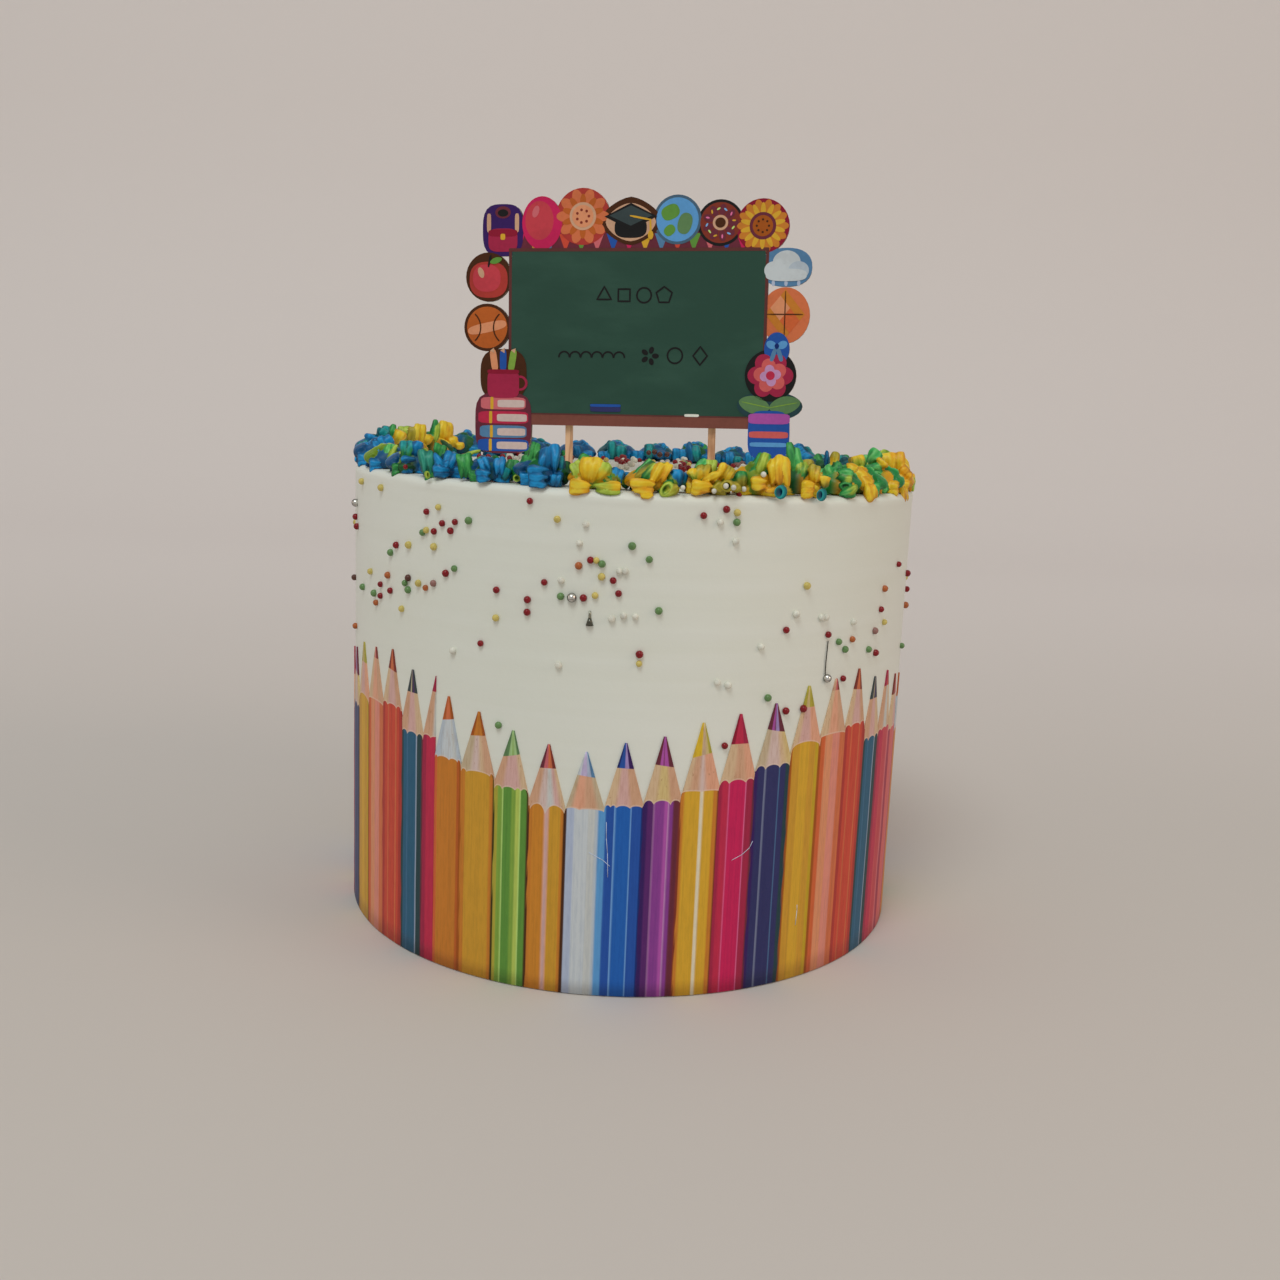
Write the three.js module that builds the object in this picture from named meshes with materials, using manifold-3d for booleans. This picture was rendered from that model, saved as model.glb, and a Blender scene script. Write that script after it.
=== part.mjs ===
// Celebration cake: a tall round cake in white icing, wrapped in edible printed sheets cut along
// a row of pencil tips, with a ring of piped swirls on its rim and a chalkboard card on two sticks.
// Millimetres, +Z up. The origin is the centre of the flat underside, and -Y is the front.
import * as THREE from 'three';
import { mergeVertices } from 'three/addons/utils/BufferGeometryUtils.js';
import Module from 'manifold-3d';

const wasm = await Module();
wasm.setup();

const GAP = 0.3;                 // clearance between neighbouring pieces

// Cake: a 20 cm round with its icing, the top face a little lower at the back
const BASE_RADIUS = 104;
const TOP_RADIUS = 103.6;
const CAKE_HEIGHT = 163;         // at the middle of the top face
const RIM_ROUNDING = 2.2;
const FOOT_ROUNDING = 0.8;
const TOP_FALL_BACK = 1.85;      // degrees
const TOP_FALL_RIGHT = 0.42;     // degrees
const CAKE_SIDES = 72;

// Printed sheets, each as long as the short side of a writing-paper page
const SHEET_THICKNESS = 0.7;
const SHEET_FOOT = 0.4;          // height of the lower edge
const TIP_WIDTH = 0.8;           // blunt end of a pencil's point
const STEP_WIDTH = 0.3;          // width of the cut's step between two pencils
const PENCILS = [                // width, height of the shoulder, height of the point
  { width: 11.7, shoulder: 74.3, tip: 95.4 },
  { width: 13.2, shoulder: 71.9, tip: 92.3 },
  { width: 12.5, shoulder: 68.5, tip: 87.9 },
  { width: 12.3, shoulder: 63.4, tip: 84.8 },
  { width: 12.6, shoulder: 64.3, tip: 83.4 },
  { width: 12.6, shoulder: 65.9, tip: 87.0 },
  { width: 12.3, shoulder: 67.7, tip: 89.4 },
  { width: 12.8, shoulder: 71.1, tip: 93.8 },
  { width: 12.5, shoulder: 73.8, tip: 96.2 },
  { width: 13.6, shoulder: 77.7, tip: 98.8 },
  { width: 13.0, shoulder: 83.7, tip: 103.4 },
  { width: 12.8, shoulder: 85.2, tip: 104.3 },
  { width: 13.0, shoulder: 86.5, tip: 106.0 },
  { width: 11.5, shoulder: 79.4, tip: 101.3 },
  { width: 12.6, shoulder: 80.2, tip: 101.3 },
  { width: 12.5, shoulder: 77.6, tip: 97.6 },
];
const SHEETS = [                 // degrees from the front, to the right
  { name: 'sheet_front', start: -37.1, end: 72.8 },
  { name: 'sheet_right', start: 72.8, end: 182.8 },
  { name: 'sheet_back', start: 182.8, end: 223.4 },
  { name: 'sheet_left', start: 223.4, end: 322.9 },
];

// Piped swirls: closer together on the right than on the left
const SWIRL_COUNT = 35;
const SWIRL_RING = 96.6;         // radius of the ring of centres
const SWIRL_REACH = 9.3;         // half of a swirl's length, from the cake's middle outwards
const FIRST_SWIRL = 3.3;         // degrees
const SPACING_DRIFT = 7;         // degrees
const SWIRL_LOBES = 8;
const SLOT_DEPTH = 0.2;          // of the radius
const SWIRL_TWIST = 0.5;         // radians from the foot to the tip
const TIP_BEND = 1.6;
const SWIRL_HEIGHTS = [          // from the front, to the right
  12, 12.5, 15.5, 17, 14.5, 13.5, 14.5,
  13, 14, 12.5, 13.5, 12, 13, 11.5,
  12.5, 11, 12, 14.5, 11.5, 12.5, 11,
  12, 13, 16.5, 15, 14.5, 16, 15,
  14.5, 12.5, 11.5, 11, 11.5, 15.5, 12,
];

// Chalkboard card: turned, leaning back and tipped a little, on two flat wooden sticks
const BOARD = { width: 97.2, height: 64.9 };
const CARD_THICKNESS = 1.6;
const CARD_CENTRE = new THREE.Vector3(-1.7, 0, 212.7);
const CARD_TURN = 10.9;          // degrees, right side forwards
const CARD_LEAN = 3;             // degrees, top backwards
const CARD_TIP = 1.8;            // degrees, right side up
const STICK = { width: 2.6, thickness: 1.6, top: -8, sink: 0.6 };
const STICK_PLACES = { topper_stick_left: -25.4, topper_stick_right: 29.1 };
// Border of the card: rounded shapes round the board (x, z, half width, half height, squareness)
const BORDER = {
  hem: [0, 34, 49, 5.5, 6],
  bag: [-51, 39, 7.8, 9.4, 3.2],
  balloon: [-36, 41.5, 7.6, 9.6, 2],
  daisy: [-20.5, 43.8, 10.2, 10.2, 2],
  cap: [-2.5, 42, 11.8, 8.6, 1.5],
  globe: [14.8, 42.4, 8.8, 8.8, 2],
  biscuit: [30.6, 41.2, 8.4, 8.2, 2],
  sunflower: [46, 40, 9.6, 9.6, 2],
  cloud: [55, 25.5, 9.2, 6.8, 2.4],
  kite: [55, 8.5, 9, 10, 2],
  ribbon: [52.5, -3.5, 4.6, 6, 2],
  apple: [-56.5, 22, 8.8, 9, 2],
  ball: [-57, 3.5, 9, 8.8, 2],
  mug: [-50.5, -14, 9, 9.6, 3],
  books: [-50.5, -32, 11, 11.4, 4],
  rose: [50.5, -13, 9.4, 9.4, 2],
  leaves: [50.5, -24, 12, 5.4, 2],
  pot: [50.5, -34.5, 7.6, 8.8, 4],
};
const BORDER_POINTS = 26;        // round each shape

const radians = THREE.MathUtils.degToRad;

/** How far the cake's top face stands above its middle height at a place. */
function topRise(x, y) {
  return -y * Math.tan(radians(TOP_FALL_BACK)) - x * Math.tan(radians(TOP_FALL_RIGHT));
}

/** Radius of the icing's wall at a height. */
function wallRadius(z) {
  return THREE.MathUtils.lerp(BASE_RADIUS, TOP_RADIUS, z / CAKE_HEIGHT);
}

/** A place at an angle from the front, in degrees to the right. */
function around(angle, radius, z) {
  return new THREE.Vector3(radius * Math.sin(radians(angle)), -radius * Math.cos(radians(angle)), z);
}

function material(name, color, roughness) {
  return new THREE.MeshStandardMaterial({ name, color, roughness, metalness: 0 });
}

/** Moves every vertex of a geometry by a function of its place. */
function reshape(geometry, move) {
  const place = geometry.attributes.position;
  const point = new THREE.Vector3();
  for (let i = 0; i < place.count; i += 1) {
    point.fromBufferAttribute(place, i);
    move(point);
    place.setXYZ(i, point.x, point.y, point.z);
  }
  geometry.computeVertexNormals();
  return geometry;
}

/** A surface turned round +Z from a profile of (radius, z) points, its seam closed. */
function turned(profile, sides) {
  const lathe = new THREE.LatheGeometry(profile.map(([r, z]) => new THREE.Vector2(r, z)), sides);
  lathe.rotateX(Math.PI / 2);
  lathe.deleteAttribute('normal');
  lathe.deleteAttribute('uv');
  return mergeVertices(lathe, 1e-3);
}

function cakeBody() {
  const profile = [[0, 0], [BASE_RADIUS - FOOT_ROUNDING, 0], [BASE_RADIUS, FOOT_ROUNDING]];
  profile.push([wallRadius(CAKE_HEIGHT / 2), CAKE_HEIGHT / 2]);
  for (let turn = 0; turn <= 90; turn += 30) {
    const inset = RIM_ROUNDING * (1 - Math.cos(radians(turn)));
    const rise = RIM_ROUNDING * Math.sin(radians(turn));
    profile.push([TOP_RADIUS - inset, CAKE_HEIGHT - RIM_ROUNDING + rise]);
  }
  profile.push([TOP_RADIUS / 2, CAKE_HEIGHT], [0, CAKE_HEIGHT]);
  const body = reshape(turned(profile, CAKE_SIDES), (p) => {
    p.z += topRise(p.x, p.y) * p.z / CAKE_HEIGHT;
  });
  return new THREE.Mesh(body, material('icing', 0xf3efe4, 0.45));
}

/** Angles and heights of a sheet's upper edge: one cone for each printed pencil. */
function sheetOutline(start, end) {
  const degrees = (length) => THREE.MathUtils.radToDeg(length / (BASE_RADIUS + GAP + SHEET_THICKNESS));
  const outline = [];
  let left = start;
  for (const { width, shoulder, tip } of PENCILS) {
    const right = Math.min(left + degrees(width), end);
    const middle = left + degrees(width) / 2;
    outline.push([left + degrees(STEP_WIDTH / 2), shoulder]);
    if (right > middle + degrees(TIP_WIDTH)) {
      outline.push([middle - degrees(TIP_WIDTH / 2), tip], [middle + degrees(TIP_WIDTH / 2), tip]);
      outline.push([right - degrees(STEP_WIDTH / 2), shoulder]);
    } else {
      const climbed = (right - left) / (middle - left);
      outline.push([right - degrees(STEP_WIDTH / 2), THREE.MathUtils.lerp(shoulder, tip, climbed)]);
    }
    left = right;
    if (end - left < degrees(TIP_WIDTH)) break;
  }
  return outline;
}

/** A thin shell on the cake's wall under a cut upper edge: four corners to each step of it. */
function sheet({ name, start, end }) {
  const outline = sheetOutline(start, end);
  const corners = [];
  for (const [angle, top] of outline) {
    for (const [z, lift] of [[SHEET_FOOT, 0], [SHEET_FOOT, 1], [top, 1], [top, 0]]) {
      corners.push(...around(angle, wallRadius(z) + GAP + lift * SHEET_THICKNESS, z).toArray());
    }
  }
  const faces = [];
  const quad = (a, b, c, d) => faces.push(a, b, c, a, c, d);
  const last = 4 * (outline.length - 1);
  for (let here = 0; here < last; here += 4) {
    const next = here + 4;
    for (let side = 0; side < 4; side += 1) {
      const turn = (side + 1) % 4;
      quad(here + side, next + side, next + turn, here + turn);
    }
  }
  quad(0, 1, 2, 3);
  quad(last, last + 3, last + 2, last + 1);
  const geometry = new THREE.BufferGeometry();
  geometry.setAttribute('position', new THREE.Float32BufferAttribute(corners, 3));
  geometry.setIndex(faces);
  geometry.computeVertexNormals();
  const mesh = new THREE.Mesh(geometry, material('printed_sheet', 0xe08a3c, 0.5));
  mesh.name = name;
  return mesh;
}

/** Angle of a swirl's centre. Whole turns of the count come back to the same place. */
function swirlAngle(index) {
  const step = 360 / SWIRL_COUNT;
  return FIRST_SWIRL + step * index - SPACING_DRIFT * (1 - Math.cos(radians(step * index)));
}

/** A lobed drop, piped upwards: its foot follows the cake's top, its lobes twist towards the tip. */
function swirl(index) {
  const angle = swirlAngle(index);
  const room = Math.min(swirlAngle(index + 1) - angle, angle - swirlAngle(index - 1));
  const halfWidth = SWIRL_RING * Math.sin(radians(room / 2)) - GAP / 2;
  const height = SWIRL_HEIGHTS[index];
  const profile = [[0, 0], [0.84, 0], [1, 0.2], [0.9, 0.42], [0.58, 0.68], [0.26, 0.88], [0, 1]];
  const centre = around(angle, SWIRL_RING, 0);
  const outwards = radians(angle) - Math.PI / 2;
  const geometry = reshape(turned(profile, 2 * SWIRL_LOBES), (p) => {
    const theta = Math.atan2(p.y, p.x);
    const lobe = 1 - SLOT_DEPTH * (0.5 - 0.5 * Math.cos(SWIRL_LOBES * theta)) * (1 - p.z * p.z);
    const turn = outwards + theta + SWIRL_TWIST * p.z * p.z;
    const radius = Math.hypot(p.x, p.y) * lobe;
    const along = radius * Math.cos(turn - outwards) * SWIRL_REACH;
    const across = radius * Math.sin(turn - outwards) * halfWidth;
    const bend = TIP_BEND * p.z * p.z * Math.sin(index);
    const x = centre.x + along * Math.cos(outwards) - (across + bend) * Math.sin(outwards);
    const y = centre.y + along * Math.sin(outwards) + (across + bend) * Math.cos(outwards);
    p.set(x, y, CAKE_HEIGHT + topRise(x, y) + GAP + p.z * height);
  });
  const mesh = new THREE.Mesh(geometry, material('piped_icing', 0x2f8fb8, 0.4));
  mesh.name = `swirl_${String(index + 1).padStart(2, '0')}`;
  return mesh;
}

/** Outline between an ellipse and a box: squareness 2 is an ellipse. */
function roundedShape([x, z, halfWidth, halfHeight, squareness]) {
  const points = [];
  for (let i = 0; i < BORDER_POINTS; i += 1) {
    const turn = (2 * Math.PI * i) / BORDER_POINTS;
    const [c, s] = [Math.cos(turn), Math.sin(turn)];
    const px = x + halfWidth * Math.sign(c) * Math.abs(c) ** (2 / squareness);
    const pz = z + halfHeight * Math.sign(s) * Math.abs(s) ** (2 / squareness);
    points.push(new THREE.Vector2(px, pz));
  }
  return new THREE.Shape(points);
}

/** A flat plate of the card's thickness, standing in the X-Z plane. */
function plate(shape) {
  const geometry = new THREE.ExtrudeGeometry(shape, { depth: CARD_THICKNESS, bevelEnabled: false });
  geometry.translate(0, 0, -CARD_THICKNESS / 2);
  geometry.rotateX(Math.PI / 2);
  geometry.deleteAttribute('normal');
  geometry.deleteAttribute('uv');
  const merged = mergeVertices(geometry, 1e-4);
  return new wasm.Manifold(new wasm.Mesh({
    numProp: 3,
    vertProperties: merged.attributes.position.array,
    triVerts: Uint32Array.from(merged.index.array),
  }));
}

function card() {
  const [w, h] = [BOARD.width / 2, BOARD.height / 2];
  const corners = [[-w, -h], [w, -h], [w, h], [-w, h]];
  let solid = plate(new THREE.Shape(corners.map(([x, z]) => new THREE.Vector2(x, z))));
  for (const outline of Object.values(BORDER)) {
    solid = solid.add(plate(roundedShape(outline)));
  }
  const { vertProperties, triVerts } = solid.getMesh();
  const geometry = new THREE.BufferGeometry();
  geometry.setAttribute('position', new THREE.BufferAttribute(vertProperties, 3));
  geometry.setIndex(new THREE.BufferAttribute(triVerts, 1));
  geometry.computeVertexNormals();
  const mesh = new THREE.Mesh(geometry, material('card', 0x2f5a48, 0.6));
  mesh.name = 'topper_card';
  return mesh;
}

/** A stick behind the card, from its back down to just above the cake's top face. */
function stick(name, x) {
  const drop = (CARD_CENTRE.z - CAKE_HEIGHT - STICK.sink) / Math.cos(radians(CARD_LEAN));
  const bottom = -(drop + x * Math.sin(radians(CARD_TIP))) / Math.cos(radians(CARD_TIP));
  const length = STICK.top - bottom;
  const mesh = new THREE.Mesh(
    new THREE.BoxGeometry(STICK.width, STICK.thickness, length),
    material('stick', 0xb98f6a, 0.7),
  );
  mesh.position.set(x, (CARD_THICKNESS + STICK.thickness) / 2 + GAP, bottom + length / 2);
  mesh.name = name;
  return mesh;
}

const cake = new THREE.Group();

const body = cakeBody();
body.name = 'cake_body';
cake.add(body);
SHEETS.forEach((placed) => cake.add(sheet(placed)));
for (let index = 0; index < SWIRL_COUNT; index += 1) {
  cake.add(swirl(index));
}

const topper = new THREE.Group();
topper.position.copy(CARD_CENTRE);
topper.rotation.set(-radians(CARD_LEAN), -radians(CARD_TIP), -radians(CARD_TURN), 'ZXY');
topper.add(card());
Object.entries(STICK_PLACES).forEach(([name, x]) => topper.add(stick(name, x)));
cake.add(topper);

export default cake;
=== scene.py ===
# Celebration cake: white icing, a wrap of printed sheets cut along pencil points, piped two-tone
# swirls on the rim, sugar pearls, and a chalkboard card on two sticks. -Y is the front.
import math
import random
from collections import namedtuple

import bmesh
import bpy
from mathutils import Matrix, Vector, noise
from mathutils.bvhtree import BVHTree
from mathutils.interpolate import poly_3d_calc


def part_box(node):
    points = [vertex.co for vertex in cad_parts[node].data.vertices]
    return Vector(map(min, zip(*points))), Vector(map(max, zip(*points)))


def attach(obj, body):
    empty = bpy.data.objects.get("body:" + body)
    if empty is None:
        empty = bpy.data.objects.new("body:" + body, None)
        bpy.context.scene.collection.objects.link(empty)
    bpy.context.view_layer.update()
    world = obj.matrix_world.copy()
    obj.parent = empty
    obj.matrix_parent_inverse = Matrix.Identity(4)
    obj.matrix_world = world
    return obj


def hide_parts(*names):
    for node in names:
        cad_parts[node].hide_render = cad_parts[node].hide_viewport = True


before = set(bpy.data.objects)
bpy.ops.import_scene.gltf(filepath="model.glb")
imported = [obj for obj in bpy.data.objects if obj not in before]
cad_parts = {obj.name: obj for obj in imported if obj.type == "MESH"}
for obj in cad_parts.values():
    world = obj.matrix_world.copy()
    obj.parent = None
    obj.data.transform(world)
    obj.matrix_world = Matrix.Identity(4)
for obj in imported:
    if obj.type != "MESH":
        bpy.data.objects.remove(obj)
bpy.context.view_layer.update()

MM = 0.001

# ---------------------------------------------------------------- sizes, in millimetres and degrees

BASE_RADIUS = 104
TOP_RADIUS = 103.6
CAKE_HEIGHT = 163                # at the middle of the top face
RIM_ROUNDING = 2.2
FOOT_ROUNDING = 0.8
TOP_FALL_BACK = 1.85
TOP_FALL_RIGHT = 0.42

SHEET_INSIDE = -0.15             # of the icing's wall
SHEET_OUTSIDE = 0.44
SHEET_FOOT = 0.4
SHEET_RADIUS = 105               # at which the pencils' widths are measured
TIP_WIDTH = 0.8
SHEETS = {                       # from and to, in degrees to the right of the front
    "sheet_front": (-37.1, 72.8),
    "sheet_right": (72.8, 182.8),
    "sheet_back": (182.8, 223.4),
    "sheet_left": (223.4, 322.9),
}

CARD_THICKNESS = 1.6
CARD_CENTRE = Vector((-1.7, 0, 212.7))
CARD_TURN = 10.9
CARD_LEAN = 3
CARD_TIP = 1.8
BOARD_WIDTH = 97.2
BOARD_HEIGHT = 64.9
PRINT_LAYER = 0.05               # each printed field stands this much in front of the one behind it

# ---------------------------------------------------------------------------------------- colours

LIGHT_LEVEL = 0.61               # of white, on the cake's front


def seen(colour):
    """Reflectance of a surface that looks like this hex colour in the soft light of the scene."""
    channels = [(colour >> shift & 255) / 255 for shift in (16, 8, 0)]
    linear = [c / 12.92 if c < 0.04045 else ((c + 0.055) / 1.055) ** 2.4 for c in channels]
    return [min(c / LIGHT_LEVEL, 0.93) for c in linear] + [1]


INKS = {
    "amber": 0xB88E28, "apricot": 0xBE7D5A, "aubergine": 0x2D1450, "azure": 0x4E85B6,
    "bark": 0x3C1E0A,
    "beige": 0xB49B7D, "black": 0x141314, "blue": 0x18529B, "bottle": 0x2F3A3C, "brick": 0x96302A,
    "bronze": 0x8C4610, "cardinal": 0xA8353F, "cherry": 0x8C1E3C, "clay": 0xB08A70,
    "cloud": 0xAAB0B4, "coral": 0xB4603C, "cream": 0xC3BAA2, "crimson": 0xA52340,
    "denim": 0x1C468F, "dusk": 0x46295A, "fawn": 0xA5967D, "fern": 0x6E8E37, "flame": 0xB4552D,
    "flax": 0xB4A06E, "forest": 0x507D32, "ghost": 0xAAADAB, "gold": 0xB08228, "grape": 0x76347D,
    "gum": 0xB4504F, "honey": 0xAF7124, "ink": 0x0C235F, "leaf": 0x8CAA73,
    "lilac": 0xAA9FBE,
    "lime": 0xA5C36E, "magenta": 0xAC194B, "maroon": 0x5A2330, "mauve": 0xAA7DA5,
    "midnight": 0x282A55, "mist": 0x9BA5AF, "moss": 0x507048, "mustard": 0xAA8C1E,
    "ochre": 0xAC6A24, "olive": 0x968C32, "orchid": 0x964690, "peach": 0xBE7869,
    "petrol": 0x23506A, "pine": 0x1E373C, "pink": 0xE1648F, "pitch": 0x2C2A08, "plum": 0x4B1E5A,
    "powder": 0x96A0B4, "rose": 0xB0585F, "rust": 0xA0501E, "salmon": 0xBE8C73,
    "sand": 0xB4918C, "scarlet": 0xAF3E2D, "shell": 0xB4A09B, "sky": 0x6E9BC8,
    "slate": 0x3C5569, "sprig": 0x9AAB4E, "steel": 0x486E91, "sun": 0xBE9E26, "teal": 0x1E6E78,
    "timber": 0x522A28, "tray": 0x6A3D34,
    "umber": 0x6E2A1E, "violet": 0x8C78AA, "wine": 0x780F28, "white": 0xC4C4BC,
}

# -------------------------------------------------------------------------------- printed pencils

Pencil = namedtuple("Pencil", "width shoulder tip base slant facets arch paint wood point")
# width and heights of the shoulder, the tip and the coloured point in mm; slant of the point's
# foot in mm; facets: where the scalloped edge of the paint dips; arch: how high it rises between
# them; paint, wood and point: inks from left to right, each with the place where it begins.
PENCILS = [
    Pencil(11.7, 74.3, 95.4, 87.6, -1.0, (0.1, 0.55, 0.86), 1.0,
           {0: "flame", 0.1: "ochre", 0.84: "rust", 0.93: "bronze"},
           {0: "mist", 0.25: "cloud", 0.72: "ghost", 0.85: "mist"},
           {0: "rust", 0.25: "coral", 0.72: "rust", 0.85: "bronze"}),
    Pencil(13.2, 71.9, 92.3, 84.3, -0.7, (0.16, 0.86), 1.1,
           {0: "ochre", 0.13: "gold", 0.86: "ochre", 0.95: "pitch"},
           {0: "fawn", 0.3: "shell", 0.55: "beige", 0.7: "clay"},
           {0: "bronze", 0.2: "ochre", 0.8: "bronze"}),
    Pencil(12.5, 68.5, 87.9, 79.6, -1.4, (0.22, 0.6, 0.76), 1.3,
           {0: "olive", 0.1: "fern", 0.23: "lime", 0.26: "forest", 0.5: "fern", 0.62: "sprig",
            0.73: "lime", 0.76: "forest", 0.94: "bark"},
           {0: "clay", 0.25: "sand", 0.75: "beige"},
           {0: "moss", 0.28: "leaf", 0.5: "fern", 0.56: "leaf", 0.8: "moss"}),
    Pencil(12.3, 63.4, 84.8, 76.9, -0.2, (0.45,), 4.2,
           {0: "ochre", 0.1: "honey", 0.42: "salmon", 0.45: "sand", 0.53: "salmon", 0.56: "gold",
            0.88: "ochre", 0.95: "bark"},
           {0: "clay", 0.25: "shell", 0.5: "ghost", 0.7: "sand", 0.88: "beige"},
           {0: "maroon", 0.22: "rose", 0.5: "coral", 0.8: "umber"}),
    Pencil(12.6, 64.3, 83.4, 75.4, 0.6, (0.35,), 0.7,
           {0: "bark", 0.04: "powder", 0.24: "cloud", 0.6: "ghost", 0.78: "mist", 0.86: "azure"},
           {0: "fawn", 0.16: "salmon", 0.5: "clay", 0.84: "fawn"},
           {0: "cloud", 0.2: "lilac", 0.6: "powder", 0.82: "steel"}),
    Pencil(12.6, 65.9, 87.0, 78.7, 0.2, (0.16, 0.31, 0.66), 1.1,
           {0: "azure", 0.05: "denim", 0.27: "sky", 0.3: "blue", 0.68: "sky", 0.7: "denim",
            0.96: "ink"},
           {0: "beige", 0.3: "sand", 0.66: "clay"},
           {0: "ink", 0.15: "denim", 0.5: "violet", 0.74: "aubergine"}),
    Pencil(12.3, 67.7, 89.4, 79.8, 0.9, (0.27, 0.72), 1.8,
           {0: "aubergine", 0.11: "plum", 0.28: "mauve", 0.3: "grape", 0.56: "orchid",
            0.66: "mauve", 0.69: "grape", 0.8: "maroon", 0.95: "umber"},
           {0: "beige", 0.35: "flax", 0.7: "clay"},
           {0: "maroon", 0.28: "orchid", 0.47: "maroon", 0.52: "orchid", 0.78: "maroon"}),
    Pencil(12.8, 71.1, 93.8, 83.1, -1.5, (0.52,), 0.5,
           {0: "ochre", 0.08: "amber", 0.49: "cream", 0.58: "amber", 0.84: "ochre", 0.95: "umber"},
           {0: "beige", 0.2: "clay", 0.46: "shell", 0.62: "salmon"},
           {0: "sun", 0.46: "beige", 0.7: "flax", 0.85: "olive"}),
    Pencil(12.5, 73.8, 96.2, 86.3, 0.0, (0.26, 0.74), 1.7,
           {0: "cherry", 0.08: "crimson", 0.26: "pink", 0.28: "magenta", 0.74: "pink",
            0.76: "cherry", 0.95: "maroon"},
           {0: "beige", 0.4: "clay", 0.75: "salmon"},
           {0: "wine", 0.22: "crimson", 0.75: "cherry"}),
    Pencil(13.6, 77.7, 98.8, 89.7, 1.4, (0.28, 0.7), 1.7,
           {0: "aubergine", 0.08: "midnight", 0.28: "powder", 0.3: "midnight", 0.68: "steel",
            0.7: "midnight", 0.88: "pine"},
           {0: "fawn", 0.3: "shell", 0.7: "beige", 0.88: "flax"},
           {0: "maroon", 0.3: "orchid", 0.48: "maroon", 0.54: "violet", 0.76: "maroon"}),
    Pencil(13.0, 83.7, 103.4, 96.2, 0.0, (), 2.6,
           {0: "bronze", 0.06: "gold", 0.3: "amber", 0.62: "gold", 0.84: "mustard", 0.95: "bronze"},
           {0: "beige", 0.25: "sand", 0.65: "salmon"},
           {0: "olive", 0.3: "flax", 0.6: "olive"}),
    Pencil(12.8, 85.2, 104.3, 100.4, 0.0, (), 0.8,
           {0: "bronze", 0.05: "flame", 0.2: "apricot", 0.48: "peach", 0.78: "coral"},
           {0: "beige", 0.3: "salmon", 0.7: "clay"},
           {0: "clay", 0.4: "rose", 0.7: "umber"}),
    Pencil(13.0, 86.5, 106.0, 98.8, 0.8, (0.26, 0.72), 1.3,
           {0: "brick", 0.14: "scarlet", 0.3: "coral", 0.34: "scarlet", 0.68: "coral",
            0.73: "scarlet", 0.86: "brick"},
           {0: "beige", 0.3: "sand", 0.7: "clay"},
           {0: "umber", 0.3: "coral", 0.72: "umber"}),
    Pencil(11.5, 79.4, 101.3, 93.5, 0.0, (0.28, 0.74), 1.6,
           {0: "pine", 0.1: "petrol", 0.28: "steel", 0.3: "petrol", 0.7: "powder", 0.74: "pine",
            0.95: "maroon"},
           {0: "clay", 0.3: "sand", 0.7: "beige"},
           {0: "bottle", 0.3: "fawn", 0.45: "bottle", 0.6: "dusk", 0.75: "bottle"}),
    Pencil(12.6, 80.2, 101.3, 95.9, 0.0, (0.3, 0.7), 1.0,
           {0: "cherry", 0.15: "crimson", 0.48: "gum", 0.52: "cardinal", 0.86: "rose"},
           {0: "clay", 0.4: "ghost", 0.7: "beige"},
           {0: "cherry", 0.4: "scarlet", 0.7: "cherry"}),
    Pencil(12.5, 77.6, 97.6, 90.2, 0.0, (0.3, 0.7), 1.0,
           {0: "cherry", 0.25: "gum", 0.7: "rose", 0.9: "cherry"},
           {0: "beige", 0.5: "sand"},
           {0: "umber", 0.5: "rose"}),
]

# ----------------------------------------------------------------------------------- piped swirls

# Painted shade tone for the creases, middle tone, and painted highlight tone for the crests
TONES = {
    "blue": (0x003E66, 0x00689C, 0x1886BC), "navy": (0x00304E, 0x004F7C, 0x0C6C9A),
    "teal": (0x003E48, 0x006C72, 0x1E9292), "sea": (0x004A40, 0x147462, 0x3C947E),
    "green": (0x084420, 0x167036, 0x46984A), "forest": (0x04280F, 0x083E1C, 0x145C2C),
    "mint": (0x0E6A30, 0x34964C, 0x70B468), "lime": (0x5A7616, 0x8AA030, 0xA8BC50),
    "olive": (0x5A540C, 0x8A7E1C, 0xA69834), "gold": (0xB07C08, 0xE4A414, 0xF2B43A),
    "honey": (0x946008, 0xCC8C12, 0xE8A42C),
}
SWIRL_WIDTH = 17.2
# Fan on the left, fan on the right, foot on the left, foot on the right: front first, to the right
SWIRL_INKS = [
    "lime gold gold green", "lime gold gold olive", "lime gold gold gold",
    "green gold gold gold", "mint gold green gold", "mint gold gold mint",
    "mint gold gold gold", "gold mint gold gold", "gold gold lime gold",
    "green gold gold lime", "lime gold green gold", "green lime gold green",
    "teal green green gold", "green teal teal green", "teal blue green blue",
    "green blue blue teal", "blue teal blue blue", "blue green teal blue",
    "teal blue blue blue", "blue teal teal blue", "blue blue green blue",
    "teal blue blue teal", "blue blue blue teal", "blue green teal blue",
    "green gold blue gold", "gold gold lime gold", "lime gold green gold",
    "teal blue blue blue", "blue blue blue blue", "blue lime blue blue",
    "lime blue green blue", "teal blue green blue", "green blue green blue",
    "green blue blue blue", "lime gold gold olive",
]
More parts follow.
